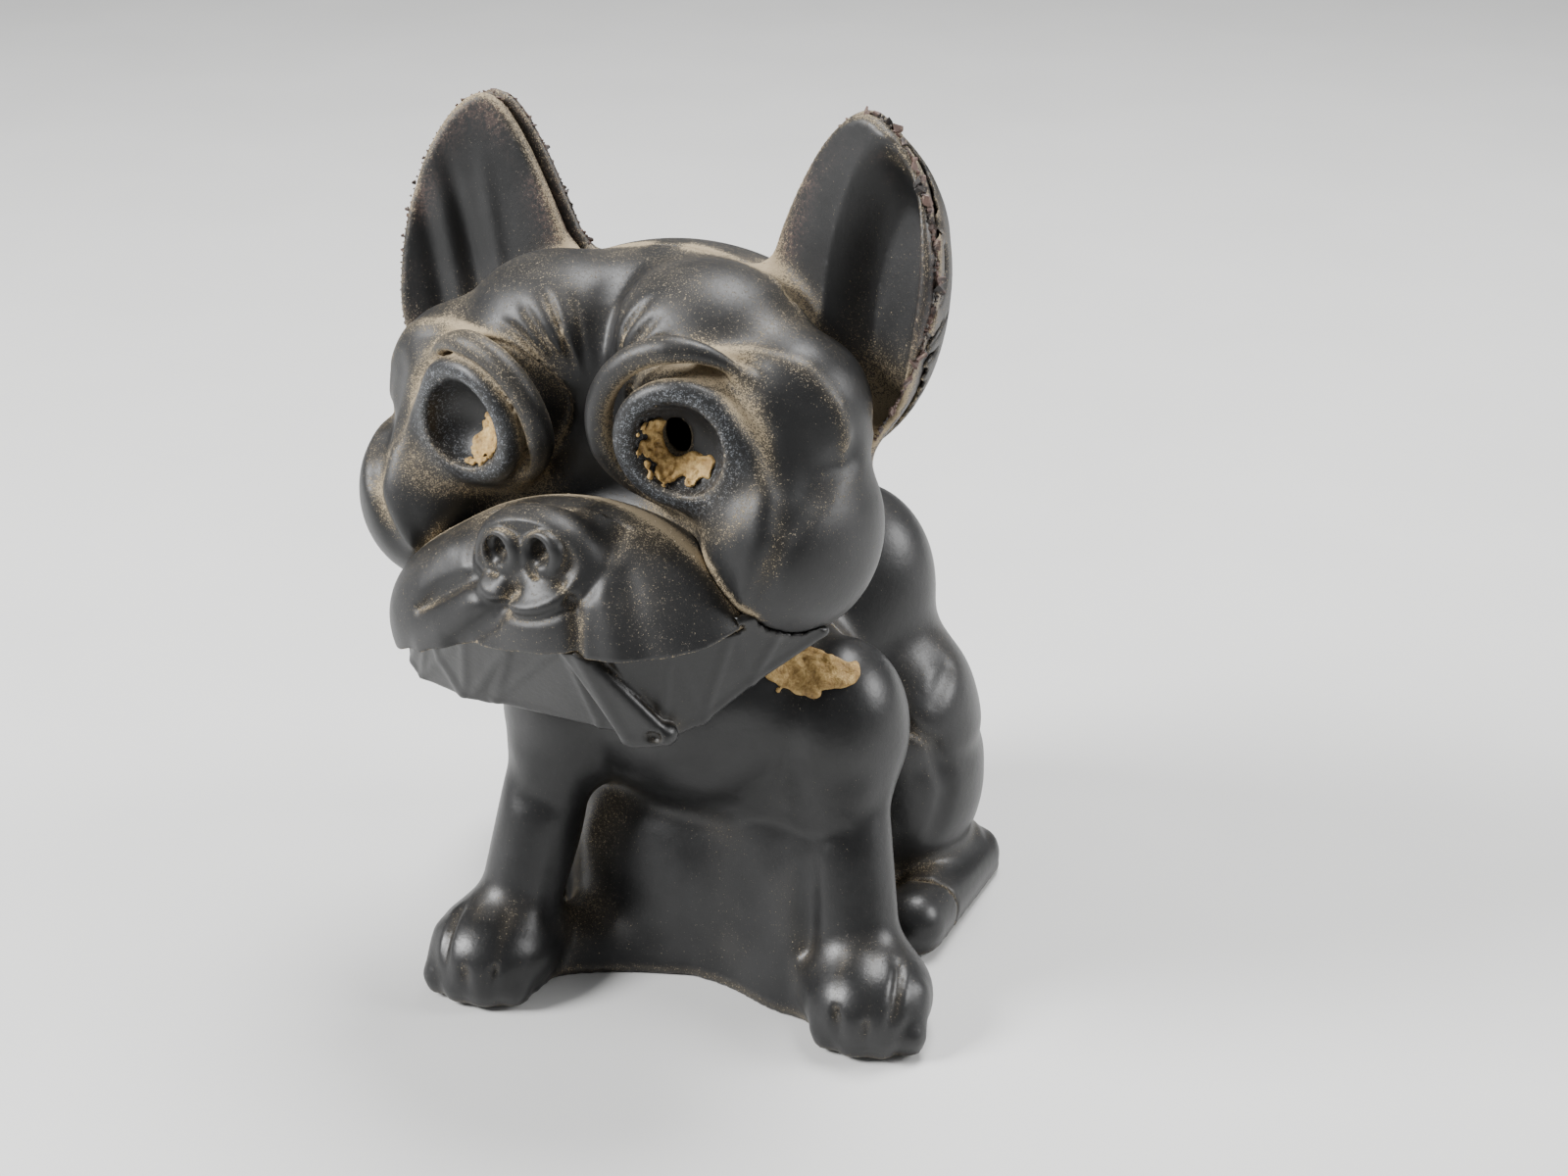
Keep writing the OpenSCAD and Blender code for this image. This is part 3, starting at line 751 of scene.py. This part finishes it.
class Finish:
    def __init__(self, name):
        self.material = bpy.data.materials.new(name)
        self.material.use_nodes = True
        self.tree = self.material.node_tree
        self.shader = self.tree.nodes["Principled BSDF"]
        self.place = self.node("ShaderNodeTexCoord", output="Object")

    def node(self, kind, settings=None, inputs=None, output=0):
        """Adds a node, sets it up, fills its sockets and returns one output."""
        made = self.tree.nodes.new(kind)
        for key, value in (settings or {}).items():
            if key == "stops":
                ramp = made.color_ramp.elements
                while len(ramp) < len(value):
                    ramp.new(0.5)
                for element, (position, colour) in zip(ramp, value):
                    element.position, element.color = position, (*colour, 1)
            else:
                setattr(made, key, value)
        for key, value in (inputs or {}).items():
            self.feed(made.inputs[key], value)
        return Wire(self, made.outputs[output])

    def feed(self, socket, value):
        if isinstance(value, Wire):
            self.tree.links.new(value.socket, socket)
        else:
            socket.default_value = value

    def noise(self, size, detail=3.0, rough=0.55):
        """Cloudy noise whose patches are about size metres across."""
        feeds = {"Vector": self.place, "Scale": 1 / size, "Detail": detail, "Roughness": rough}
        return self.node("ShaderNodeTexNoise", {}, feeds)

    def measure(self, name):
        """One of the measures that cast() keeps at each vertex."""
        return self.node("ShaderNodeAttribute", {"attribute_name": name}, output="Fac")

    def mix(self, amount, a, b):
        """a where amount is 0 and b where it is 1, for colours."""
        made = self.node("ShaderNodeMix", {"data_type": "RGBA"}, {"Factor": amount}, output=2)
        for socket, value in zip([made.socket.node.inputs[6], made.socket.node.inputs[7]], (a, b)):
            self.feed(socket, value if isinstance(value, Wire) else (*value, 1))
        return made

    def wear(self, colour, roughness, relief, depth):
        """Feeds the shader, with relief in metres of bump."""
        self.feed(self.shader.inputs["Base Color"], colour)
        self.feed(self.shader.inputs["Roughness"], roughness)
        bump = self.node("ShaderNodeBump", {}, {"Height": relief, "Distance": depth, "Strength": 1.0})
        self.feed(self.shader.inputs["Normal"], bump)
        return self.material


# %% [markdown]
# The plastic is black, satin and slightly uneven, as thin mouldings are. It
# has aged: tan dust lies in every crease, along raised seams and on surfaces
# that face up, as separate grains and not as a film, and faint rubs shine on
# the proud places. Grains come from fine noise cut at a level that falls
# where the vertex measures say dust gathers.

# %% Black plastic
BLACK, GREY = (0.0085, 0.0086, 0.0088), (0.026, 0.026, 0.027)
TAN, PALE_TAN = (0.21, 0.155, 0.085), (0.40, 0.33, 0.22)
# The pale bluish grey is painted on the eyes' lid rolls as a highlight.
BROWN, RIM_HIGHLIGHT_PAINT = (0.085, 0.052, 0.043), (0.24, 0.26, 0.29)


def black_plastic(name, satin, dust, uneven, painted_shade=1.0):
    """Roughness satin, with dust and uneven as shares of the head's, and a last factor that darkens the black as
    painted shade.
    """
    f = Finish(name)
    hollow, proud, dusty = f.measure("hollow"), f.measure("proud"), f.measure("dusty")
    cloud, grain, fine = f.noise(0.009), f.noise(0.0004, 5, 0.7), f.noise(0.00015, 2, 0.6)
    gather = dusty * 0.95 + hollow * 0.6 + proud * 0.25 + cloud * 0.5 - 0.26
    level = 0.645 - gather * (0.27 * dust)
    grains = (grain * 0.4 + fine * 0.6).band(level, level + 0.09) * gather.band(-0.15, 0.25) * 0.85
    film = gather.band(0.15, 1.1) * 0.30 * dust
    covered = (grains + film).maths("MINIMUM", grains + film, 0.92)
    rubbed = proud.band(0.25, 0.9) * cloud.band(0.45, 0.65)
    # A shade factor below 1 darkens both tones as painted shade.
    dark, worn = ([c * painted_shade for c in tone] for tone in (BLACK, GREY))
    plain = f.mix(cloud.band(0.35, 0.75) * 0.5 + rubbed * 0.4, dark, worn)
    plain = f.mix(f.measure("browned") * cloud.band(0.4, 0.62) * grain.band(0.42, 0.58), plain, BROWN)
    # A pale, grainy ring is painted on each eye's lid roll as a highlight.
    pale_spots = f.measure("chalky") * (grain * 0.5 + fine * 0.5).band(0.51, 0.61)
    plain = f.mix(pale_spots * 0.7, plain, RIM_HIGHLIGHT_PAINT)
    colour = f.mix(covered, plain, f.mix(fine, TAN, PALE_TAN))
    peel = f.noise(0.0011, 2, 0.5)
    roughness = (satin + cloud * 0.12 + covered * 0.4 - rubbed * 0.06 - 0.06) + (grain - 0.5) * 0.12
    relief = peel * (0.35 * uneven) + grain * 0.25 + fine * 0.08 + grains * 0.5
    f.shader.inputs["Specular IOR Level"].default_value = 0.45
    return f.wear(colour, roughness, relief, 0.00006)


HEAD_PLASTIC = black_plastic("aged_black_head", 0.46, 1.0, 1.0)
BODY_PLASTIC = black_plastic("aged_black_body", 0.38, 0.6, 1.3)
# The jaw's copy is darkened to 0.45 as painted shade under the lip.
JAW_PLASTIC_IN_PAINTED_SHADE = black_plastic("buckled_jaw_in_painted_shade", 0.40, 0.45, 1.6, 0.45)
INNER_PLASTIC = black_plastic("plain_black_inside", 0.46, 0.6, 0.8)
print("black plastics:", HEAD_PLASTIC.name, BODY_PLASTIC.name, JAW_PLASTIC_IN_PAINTED_SHADE.name, INNER_PLASTIC.name)

# %% [markdown]
# The old cement that held the glass eyes has gone amber and crumbly. The plug
# is a dull, slightly chalky rubber. The thin flash left at the ears' edges has
# browned, because light and air reach it from both sides.

# %% Cement, rubber, browned flash and dust
def old_cement():
    f = Finish("amber_cement")
    lumps, fine, dark = f.noise(0.0012, 4, 0.65), f.noise(0.0003, 3, 0.7), f.noise(0.0028, 2)
    stops = [(0.25, (0.045, 0.028, 0.012)), (0.45, (0.30, 0.18, 0.055)), (0.62, (0.52, 0.35, 0.13)),
             (0.85, (0.72, 0.58, 0.32))]
    colour = f.node("ShaderNodeValToRGB", {"stops": stops}, {"Fac": lumps * 0.6 + fine * 0.25 + dark * 0.25 - 0.04})
    return f.wear(colour, 0.42 + fine * 0.4, lumps + fine * 0.4, 0.00025)


def dull_rubber():
    f = Finish("dull_rubber")
    bloom, fine = f.noise(0.006, 4, 0.6), f.noise(0.0004, 3, 0.6)
    pale_spots = bloom.band(0.42, 0.72) * (fine.band(0.35, 0.7))
    colour = f.mix(pale_spots * 0.6, (0.018, 0.018, 0.018), (0.10, 0.10, 0.095))
    return f.wear(colour, 0.62 + pale_spots * 0.25, fine + bloom * 0.3, 0.0001)


def browned_flash():
    f = Finish("browned_flash")
    patch, fine = f.noise(0.0022, 4, 0.6), f.noise(0.0004, 3, 0.6)
    colour = f.mix(patch.band(0.38, 0.6), (0.020, 0.017, 0.016), (0.115, 0.068, 0.055))
    colour = f.mix(fine.band(0.55, 0.72) * 0.6, colour, (0.30, 0.24, 0.17))
    return f.wear(colour, 0.5 + fine * 0.3, patch + fine * 0.5, 0.00015)


def dust_grain():
    f = Finish("dust_grain")
    tint = f.noise(0.0008, 2)
    colour = f.mix(tint.band(0.35, 0.65), (0.23, 0.17, 0.10), (0.48, 0.40, 0.28))
    return f.wear(colour, 0.8 + tint * 0.15, tint, 0.00005)


CEMENT, RUBBER, FLASH, GRAIN = old_cement(), dull_rubber(), browned_flash(), dust_grain()
print("other finishes:", CEMENT.name, RUBBER.name, FLASH.name, GRAIN.name)

# %% [markdown]
# Dust lines are named once: the seam over the crown, the brows, the joint
# over the muzzle and the ears' floors. Each vertex takes the nearest line's
# strength, plus a little for every surface that faces up.

# %% Where dust lies
MUZZLE_JOINT = [(22.6, -29.6, 9.2), (18.2, -28.9, 15), (10.4, -26.8, 18.4), (0, -25.6, 19.8)]


def head_dust(p, n):
    """Dust on the head at places p, whose skin faces n."""
    q = folded(p)
    e, r = eye_place(q)
    strength = line_dust(q, [CROWN, MUZZLE_JOINT], 1.1) + 0.5 * line_dust(q, [BROW, LID_FOLD, EAR_CREASE], 1.1)
    strength = strength + 0.3 * np.exp(-((r - 9.4) / 1.2) ** 2) * (np.abs(e[:, 2]) < 7)
    floor = np.exp(-((p[:, 2] - 26) / 7) ** 2) * (q[:, 0] > 20) * (p[:, 1] > -12) * (n[:, 1] < -0.2)
    rim = line_dust(q, [LEFT_EAR_RIM.tolist(), RIGHT_EAR_RIM.tolist()], 1.2)
    return strength + 0.5 * floor + 0.4 * rim + 0.08 + 0.26 * np.clip(n[:, 2], 0, 1)


def body_dust(p, n):
    q = folded(p)
    foot = np.exp(-((p[:, 2] - 0.6) / 0.7) ** 2)
    return 0.5 * foot + 0.28 * np.clip(n[:, 2], 0, 1) + 0.3 * np.exp(-(p[:, 1] / 0.5) ** 2)


# %% [markdown]
# Now the pieces are cast. A face needs finer boxes than a back, so each piece
# names its own box size. The inner walls are cast too, because the real bank
# is a thin shell and the coin slot and the eye hole look into it.

# %% Cast the shells
DETAIL = 1.0


def dress(piece, body, finish, slot, *nodes):
    piece.data.materials.append(finish)
    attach(piece, body)
    if nodes:
        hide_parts(*nodes)


face = cast("face", face_clay, (-40, -40, -6), (40, 8, 60), 0.48 * DETAIL, "head", face_solid, head_dust)
dress(face, "head", HEAD_PLASTIC, "black_shell", "face_shell")
skull = cast("skull_back", back_clay, (-40, -16, -6), (40, 18, 61), 0.6 * DETAIL, "head", back_solid, head_dust)
dress(skull, "head", HEAD_PLASTIC, "black_shell", "head_rear_shell")
snout = cast("snout", muzzle_clay, (-24, -45, 2), (24, -18, 24), 0.3 * DETAIL, "head", muzzle_solid, head_dust)
dress(snout, "head", HEAD_PLASTIC, "black_shell", "muzzle")
jaw = cast("crumpled_jaw", jaw_clay, (-28, -42, -8), (30, -16, 12), 0.4 * DETAIL, "head")
dress(jaw, "head", JAW_PLASTIC_IN_PAINTED_SHADE, "black_shell", "lower_jaw")
front = cast("chest_and_legs", front_clay, (-38, -38, -2), (38, 2, 58), 0.6 * DETAIL, "body", body_solid, body_dust)
dress(front, "body", BODY_PLASTIC, "black_shell", "body_front_shell")
rear = cast("back_and_haunches", rear_clay, (-38, -2, -2), (38, 36, 58), 0.6 * DETAIL, "body", body_solid, body_dust)
dress(rear, "body", BODY_PLASTIC, "black_shell", "body_rear_shell")

# %% [markdown]
# The cement in each socket is a thin, ragged skin on the dish, and a smear of
# it lies on the shoulder where the head was once stuck down. Both are a thin
# layer over the clay, limited by a few blobs and roughened.

# %% Cement
def eye_cement(side):
    """A ragged skin of blobs, each given by its place on the dish and its size."""
    blobs = [(1.4, -2.4, 2.1), (2.4, -0.6, 1.6), (0, -3.4, 1.5)]
    if side > 0:
        blobs = [(-3.2, -0.6, 1.5), (-2.0, -2.6, 1.7), (0.6, -3.2, 1.5), (-2.9, 1.6, 1.1), (2.6, -2.8, 0.8)]

    def clay(p):
        q = p * vec(side, 1, 1)
        e, r = eye_place(q)
        patch = np.full(len(p), 20, np.float32)
        for x, y, size in blobs:
            patch = melt(patch, np.hypot(e[:, 0] - x * side, e[:, 1] - y) - size, 1.0)
        patch = patch + 0.55 * ripple(p, 2.1, side)
        skin = egg(e, (0, 0, 0.2), (5.3, 5.3, 4.8))
        layer = keep(skin - 0.15, -(skin + 0.5 + 0.22 * ripple(p, 1.3, 3)), 0.3)
        d = keep(keep(layer, patch, 0.5), e[:, 2] + 0.6, 0.3)
        if side > 0:
            d = carve(d, peg_hole(p) + 0.05, 0.3)
        return d
    return clay


for side, word in ((1, "left"), (-1, "right")):
    x = side * EYE[0]
    start, end = (x - 7, EYE[1] - 3, EYE[2] - 8), (x + 7, EYE[1] + 9, EYE[2] + 8)
    crumb = cast(f"{word}_eye_crumbs", eye_cement(side), start, end, 0.2 * DETAIL, "head")
    dress(crumb, "head", CEMENT, "cement", f"{word}_eye_cement")

low, high = (np.array(c, np.float32) * 1000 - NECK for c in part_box("neck_cement"))


def smear_clay(p):
    """A thin layer on the shoulder, a little to the dog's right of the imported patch."""
    mid, half = (low + high) / 2 - vec(2.6, 0, 0), (high - low) / 2
    patch = egg(p, mid, half * vec(1.0, 1.1, 1.0)) + 0.7 * ripple(p, 4.2, 2)
    skin = body_skin(p)
    return keep(keep(skin - 0.45 - 0.2 * ripple(p, 2.3), -skin - 0.3, 0.2), patch, 0.5)


smear = cast("shoulder_smear", smear_clay, low - 5, high + 2, 0.26 * DETAIL, "body")
dress(smear, "body", CEMENT, "cement", "neck_cement")

# %% [markdown]
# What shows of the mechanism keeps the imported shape, because turned parts are
# exact there already. Each gets the finish of its own stuff.

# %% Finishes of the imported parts
INNER_PARTS = ["base_plate", "neck_spigot", "retaining_ring", "throat_plate", "head_collar"]
PACKED_FINISHES = dict.fromkeys(INNER_PARTS, INNER_PLASTIC)
PACKED_FINISHES["trap_plug"] = RUBBER
for name, finish in PACKED_FINISHES.items():
    part = frame["nodes"][name]
    part.data.materials.clear()
    part.data.materials.append(finish)
print("packed parts kept: base plate, spigot, ring, throat plate, collar, plug")

# %% [markdown]
# Thin plastic has squeezed out between the mould halves and broken off in
# chips: a ragged flash. It follows the outer and the inner edge of each ear.
# A curve is laid on the edge, Geometry Nodes set a small wedge at each step,
# turned and sized at random, and the result becomes a plain mesh.

# %% Ragged flash along an edge
def edge_curve(name, points, where):
    curve = bpy.data.curves.new(name, "CURVE")
    curve.dimensions = "3D"
    spline = curve.splines.new("POLY")
    spline.points.add(len(points) - 1)
    for point, place in zip(spline.points, to_metres(np.array(points, np.float32), where)):
        point.co = (*place.tolist(), 1)
    made = bpy.data.objects.new(name, curve)
    bpy.context.collection.objects.link(made)
    return made


class Tree:
    """A Geometry Nodes tree with named inputs."""

    def __init__(self, name, **inputs):
        self.group = bpy.data.node_groups.new(name, "GeometryNodeTree")
        face = self.group.interface
        face.new_socket("Geometry", in_out="INPUT", socket_type="NodeSocketGeometry")
        self.ids = {}
        for key, (kind, value) in inputs.items():
            socket = face.new_socket(key, in_out="INPUT", socket_type=kind)
            if kind != "NodeSocketMaterial":
                socket.default_value = value
            self.ids[key] = socket.identifier
        face.new_socket("Geometry", in_out="OUTPUT", socket_type="NodeSocketGeometry")
        self.source = self.group.nodes.new("NodeGroupInput")
        self.sink = self.group.nodes.new("NodeGroupOutput")

    def input(self, name):
        return self.source.outputs[name]

    def add(self, kind, settings=None, inputs=None, output=0):
        node = self.group.nodes.new(kind)
        for key, value in (settings or {}).items():
            setattr(node, key, value)
        for key, value in (inputs or {}).items():
            if isinstance(value, bpy.types.NodeSocket):
                self.group.links.new(value, node.inputs[key])
            else:
                node.inputs[key].default_value = value
        return node.outputs[output]

    def finish(self, geometry):
        solid = self.add("GeometryNodeRealizeInstances", {}, {"Geometry": geometry})
        made = self.add("GeometryNodeSetMaterial", {}, {"Geometry": solid, "Material": self.input("Finish")})
        self.group.links.new(made, self.sink.inputs[0])

    def grow(self, name, source, finish, **values):
        """Runs the tree on source and returns the result as a plain mesh object."""
        modifier = source.modifiers.new(name, "NODES")
        modifier.node_group = self.group
        modifier[self.ids["Finish"]] = finish
        for key, value in values.items():
            modifier[self.ids[key]] = value
        evaluated = source.evaluated_get(bpy.context.evaluated_depsgraph_get())
        mesh = bpy.data.meshes.new_from_object(evaluated)
        source.modifiers.remove(modifier)
        mesh.name = name
        made = bpy.data.objects.new(name, mesh)
        bpy.context.collection.objects.link(made)
        if not mesh.materials:
            mesh.materials.append(finish)
        print(f"{name}: {len(mesh.polygons)} faces")
        return made


def flash_tree():
    t = Tree("ragged_flash", Step=("NodeSocketFloat", 0.0006), Chip=("NodeSocketFloat", 0.0006),
             Least=("NodeSocketFloat", 0.3), Seed=("NodeSocketInt", 1), Finish=("NodeSocketMaterial", None))
    path = {"Curve": t.input("Geometry"), "Length": t.input("Step")}
    steps = t.add("GeometryNodeResampleCurve", {"mode": "LENGTH"}, path)
    points = t.add("GeometryNodeCurveToPoints", {"mode": "EVALUATED"}, {"Curve": steps})
    wedge = t.add("GeometryNodeMeshCone", {}, {"Vertices": 5, "Radius Top": 0.35, "Radius Bottom": 0.8, "Depth": 0.9})
    any_way = {"Min": (-3.1, -3.1, -3.1), "Max": (3.1, 3.1, 3.1), "Seed": t.input("Seed")}
    turn = t.add("FunctionNodeRandomValue", {"data_type": "FLOAT_VECTOR"}, any_way)
    size = t.add("FunctionNodeRandomValue", {"data_type": "FLOAT"}, {2: 0.0, 3: 1.0, "Seed": t.input("Seed")}, 1)
    uneven = t.add("ShaderNodeMath", {"operation": "POWER"}, {0: size, 1: 2.2})
    grown = t.add("ShaderNodeMath", {"operation": "MAXIMUM"}, {0: uneven, 1: t.input("Least")})
    scale = t.add("ShaderNodeMath", {"operation": "MULTIPLY"}, {0: grown, 1: t.input("Chip")})
    flat = t.add("ShaderNodeVectorMath", {"operation": "SCALE"}, {0: (1.0, 0.55, 1.3), "Scale": scale})
    placed = {"Points": points, "Instance": wedge, "Rotation": turn, "Scale": flat}
    t.finish(t.add("GeometryNodeInstanceOnPoints", {}, placed))
    return t


FLASH_TREE = flash_tree()


def flash(name, points, step, chip, least, seed):
    """Chips along points, every step metres, none smaller than least of the largest, chip."""
    source = edge_curve(name + "_line", points, "head")
    made = FLASH_TREE.grow(name, source, FLASH, Step=step, Chip=chip, Least=least, Seed=seed)
    bpy.data.objects.remove(source)
    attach(made, "head")


def ear_edge(corners, inward, lift):
    """Points along a sheet's edge: the outline, shifted towards the crown and back."""
    e = (corners - EAR_SPOT) @ EAR_FRAME
    e[:, 0] -= inward
    e[:, 1] = lift - 1.5
    return e @ EAR_FRAME.T + EAR_SPOT


for side, word, corners in ((1, "left", LEFT_EAR_RIM), (-1, "right", RIGHT_EAR_RIM)):
    outer = ear_edge(corners, -0.1, 0.5)[11:37] * vec(side, 1, 1)
    inner = ear_edge(corners, 1.3, 1.6)[2:17] * vec(side, 1, 1)
    flash(f"{word}_ear_flash", outer, 0.0006 - 0.0002 * side, 0.0009 + 0.0002 * side, 0.3, 5 + side)
    flash(f"{word}_ear_inner_flash", inner, 0.0003, 0.0007, 0.35, 15 + side)

# %% [markdown]
# Some dust has clumped into crumbs big enough to see. They are scattered over
# the skin, thickest where the vertex measures say, as tiny twenty-sided lumps.

# %% Dust crumbs
def crumb_tree():
    t = Tree("dust_crumbs", Density=("NodeSocketFloat", 4e5), Size=("NodeSocketFloat", 0.00009),
             Seed=("NodeSocketInt", 3), Finish=("NodeSocketMaterial", None))
    hollow, dusty = (t.add("GeometryNodeInputNamedAttribute", {"data_type": "FLOAT"}, {"Name": name})
                     for name in ("hollow", "dusty"))
    both = t.add("ShaderNodeMath", {"operation": "ADD"}, {0: hollow, 1: dusty})
    sharper = t.add("ShaderNodeMath", {"operation": "POWER"}, {0: both, 1: 2.5})
    density = t.add("ShaderNodeMath", {"operation": "MULTIPLY"}, {0: sharper, 1: t.input("Density")})
    scatter = {"Mesh": t.input("Geometry"), "Density": density, "Seed": t.input("Seed")}
    points = t.add("GeometryNodeDistributePointsOnFaces", {"distribute_method": "RANDOM"}, scatter)
    lump = t.add("GeometryNodeMeshIcoSphere", {}, {"Radius": 1.0, "Subdivisions": 1})
    size = t.add("FunctionNodeRandomValue", {"data_type": "FLOAT"}, {2: 0.35, 3: 1.0, "Seed": t.input("Seed")}, 1)
    scale = t.add("ShaderNodeMath", {"operation": "MULTIPLY"}, {0: size, 1: t.input("Size")})
    t.finish(t.add("GeometryNodeInstanceOnPoints", {}, {"Points": points, "Instance": lump, "Scale": scale}))
    return t


CRUMBS = crumb_tree()
CRUMB_PLACES = [
    ("face_crumbs", face, "head", 3e5),
    ("snout_crumbs", snout, "head", 3e5),
    ("body_crumbs", front, "body", 1.2e5),
]
for name, source, body, density in CRUMB_PLACES:
    crumbs = CRUMBS.grow(name, source, GRAIN, Density=density)
    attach(crumbs, body)

# %% [markdown]
# The bank stands on a plain pale floor. A large soft light hangs to the left
# and in front, a second one above and behind and a third at the right, and the
# world gives a little fill, so the satin plastic shows broad, soft highlights.

# %% Floor and lights
bpy.ops.mesh.primitive_plane_add(size=6)
floor = bpy.context.object
floor.name = "floor"
pale = Finish("pale_floor")
cloud = pale.noise(0.05)
pale.wear(pale.mix(cloud, (0.60, 0.60, 0.59), (0.66, 0.66, 0.65)), 0.6 + cloud * 0.1, cloud, 0.0001)
floor.data.materials.append(pale.material)
floor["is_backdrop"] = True


def soft_light(name, place, size, watts, aim=(0, 0, 0.05)):
    light = bpy.data.lights.new(name, "AREA")
    light.shape, light.size, light.energy = "DISK", size, watts
    lamp = bpy.data.objects.new(name, light)
    lamp.location = place
    lamp.rotation_mode = "QUATERNION"
    lamp.rotation_quaternion = (Vector(aim) - Vector(place)).to_track_quat("-Z", "Y")
    bpy.context.collection.objects.link(lamp)


soft_light("key", (-0.50, -0.24, 0.44), 0.24, 9.5)
soft_light("top", (0.08, 0.20, 0.62), 0.30, 6.0)
soft_light("side", (0.60, 0.10, 0.35), 0.30, 4.0)
world = bpy.data.worlds.new("soft_room")
world.use_nodes = True
sky = world.node_tree.nodes["Background"]
sky.inputs["Color"].default_value = (0.97, 0.98, 1.0, 1)
sky.inputs["Strength"].default_value = 0.28
bpy.context.scene.world = world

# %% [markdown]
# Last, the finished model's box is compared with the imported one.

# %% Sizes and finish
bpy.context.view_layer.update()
packed, finished = ([v for corner in box for v in corner] for box in (cad_box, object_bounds()))
print("box corners moved by, mm:", [round((b - a) * 1000, 2) for a, b in zip(packed, finished)])
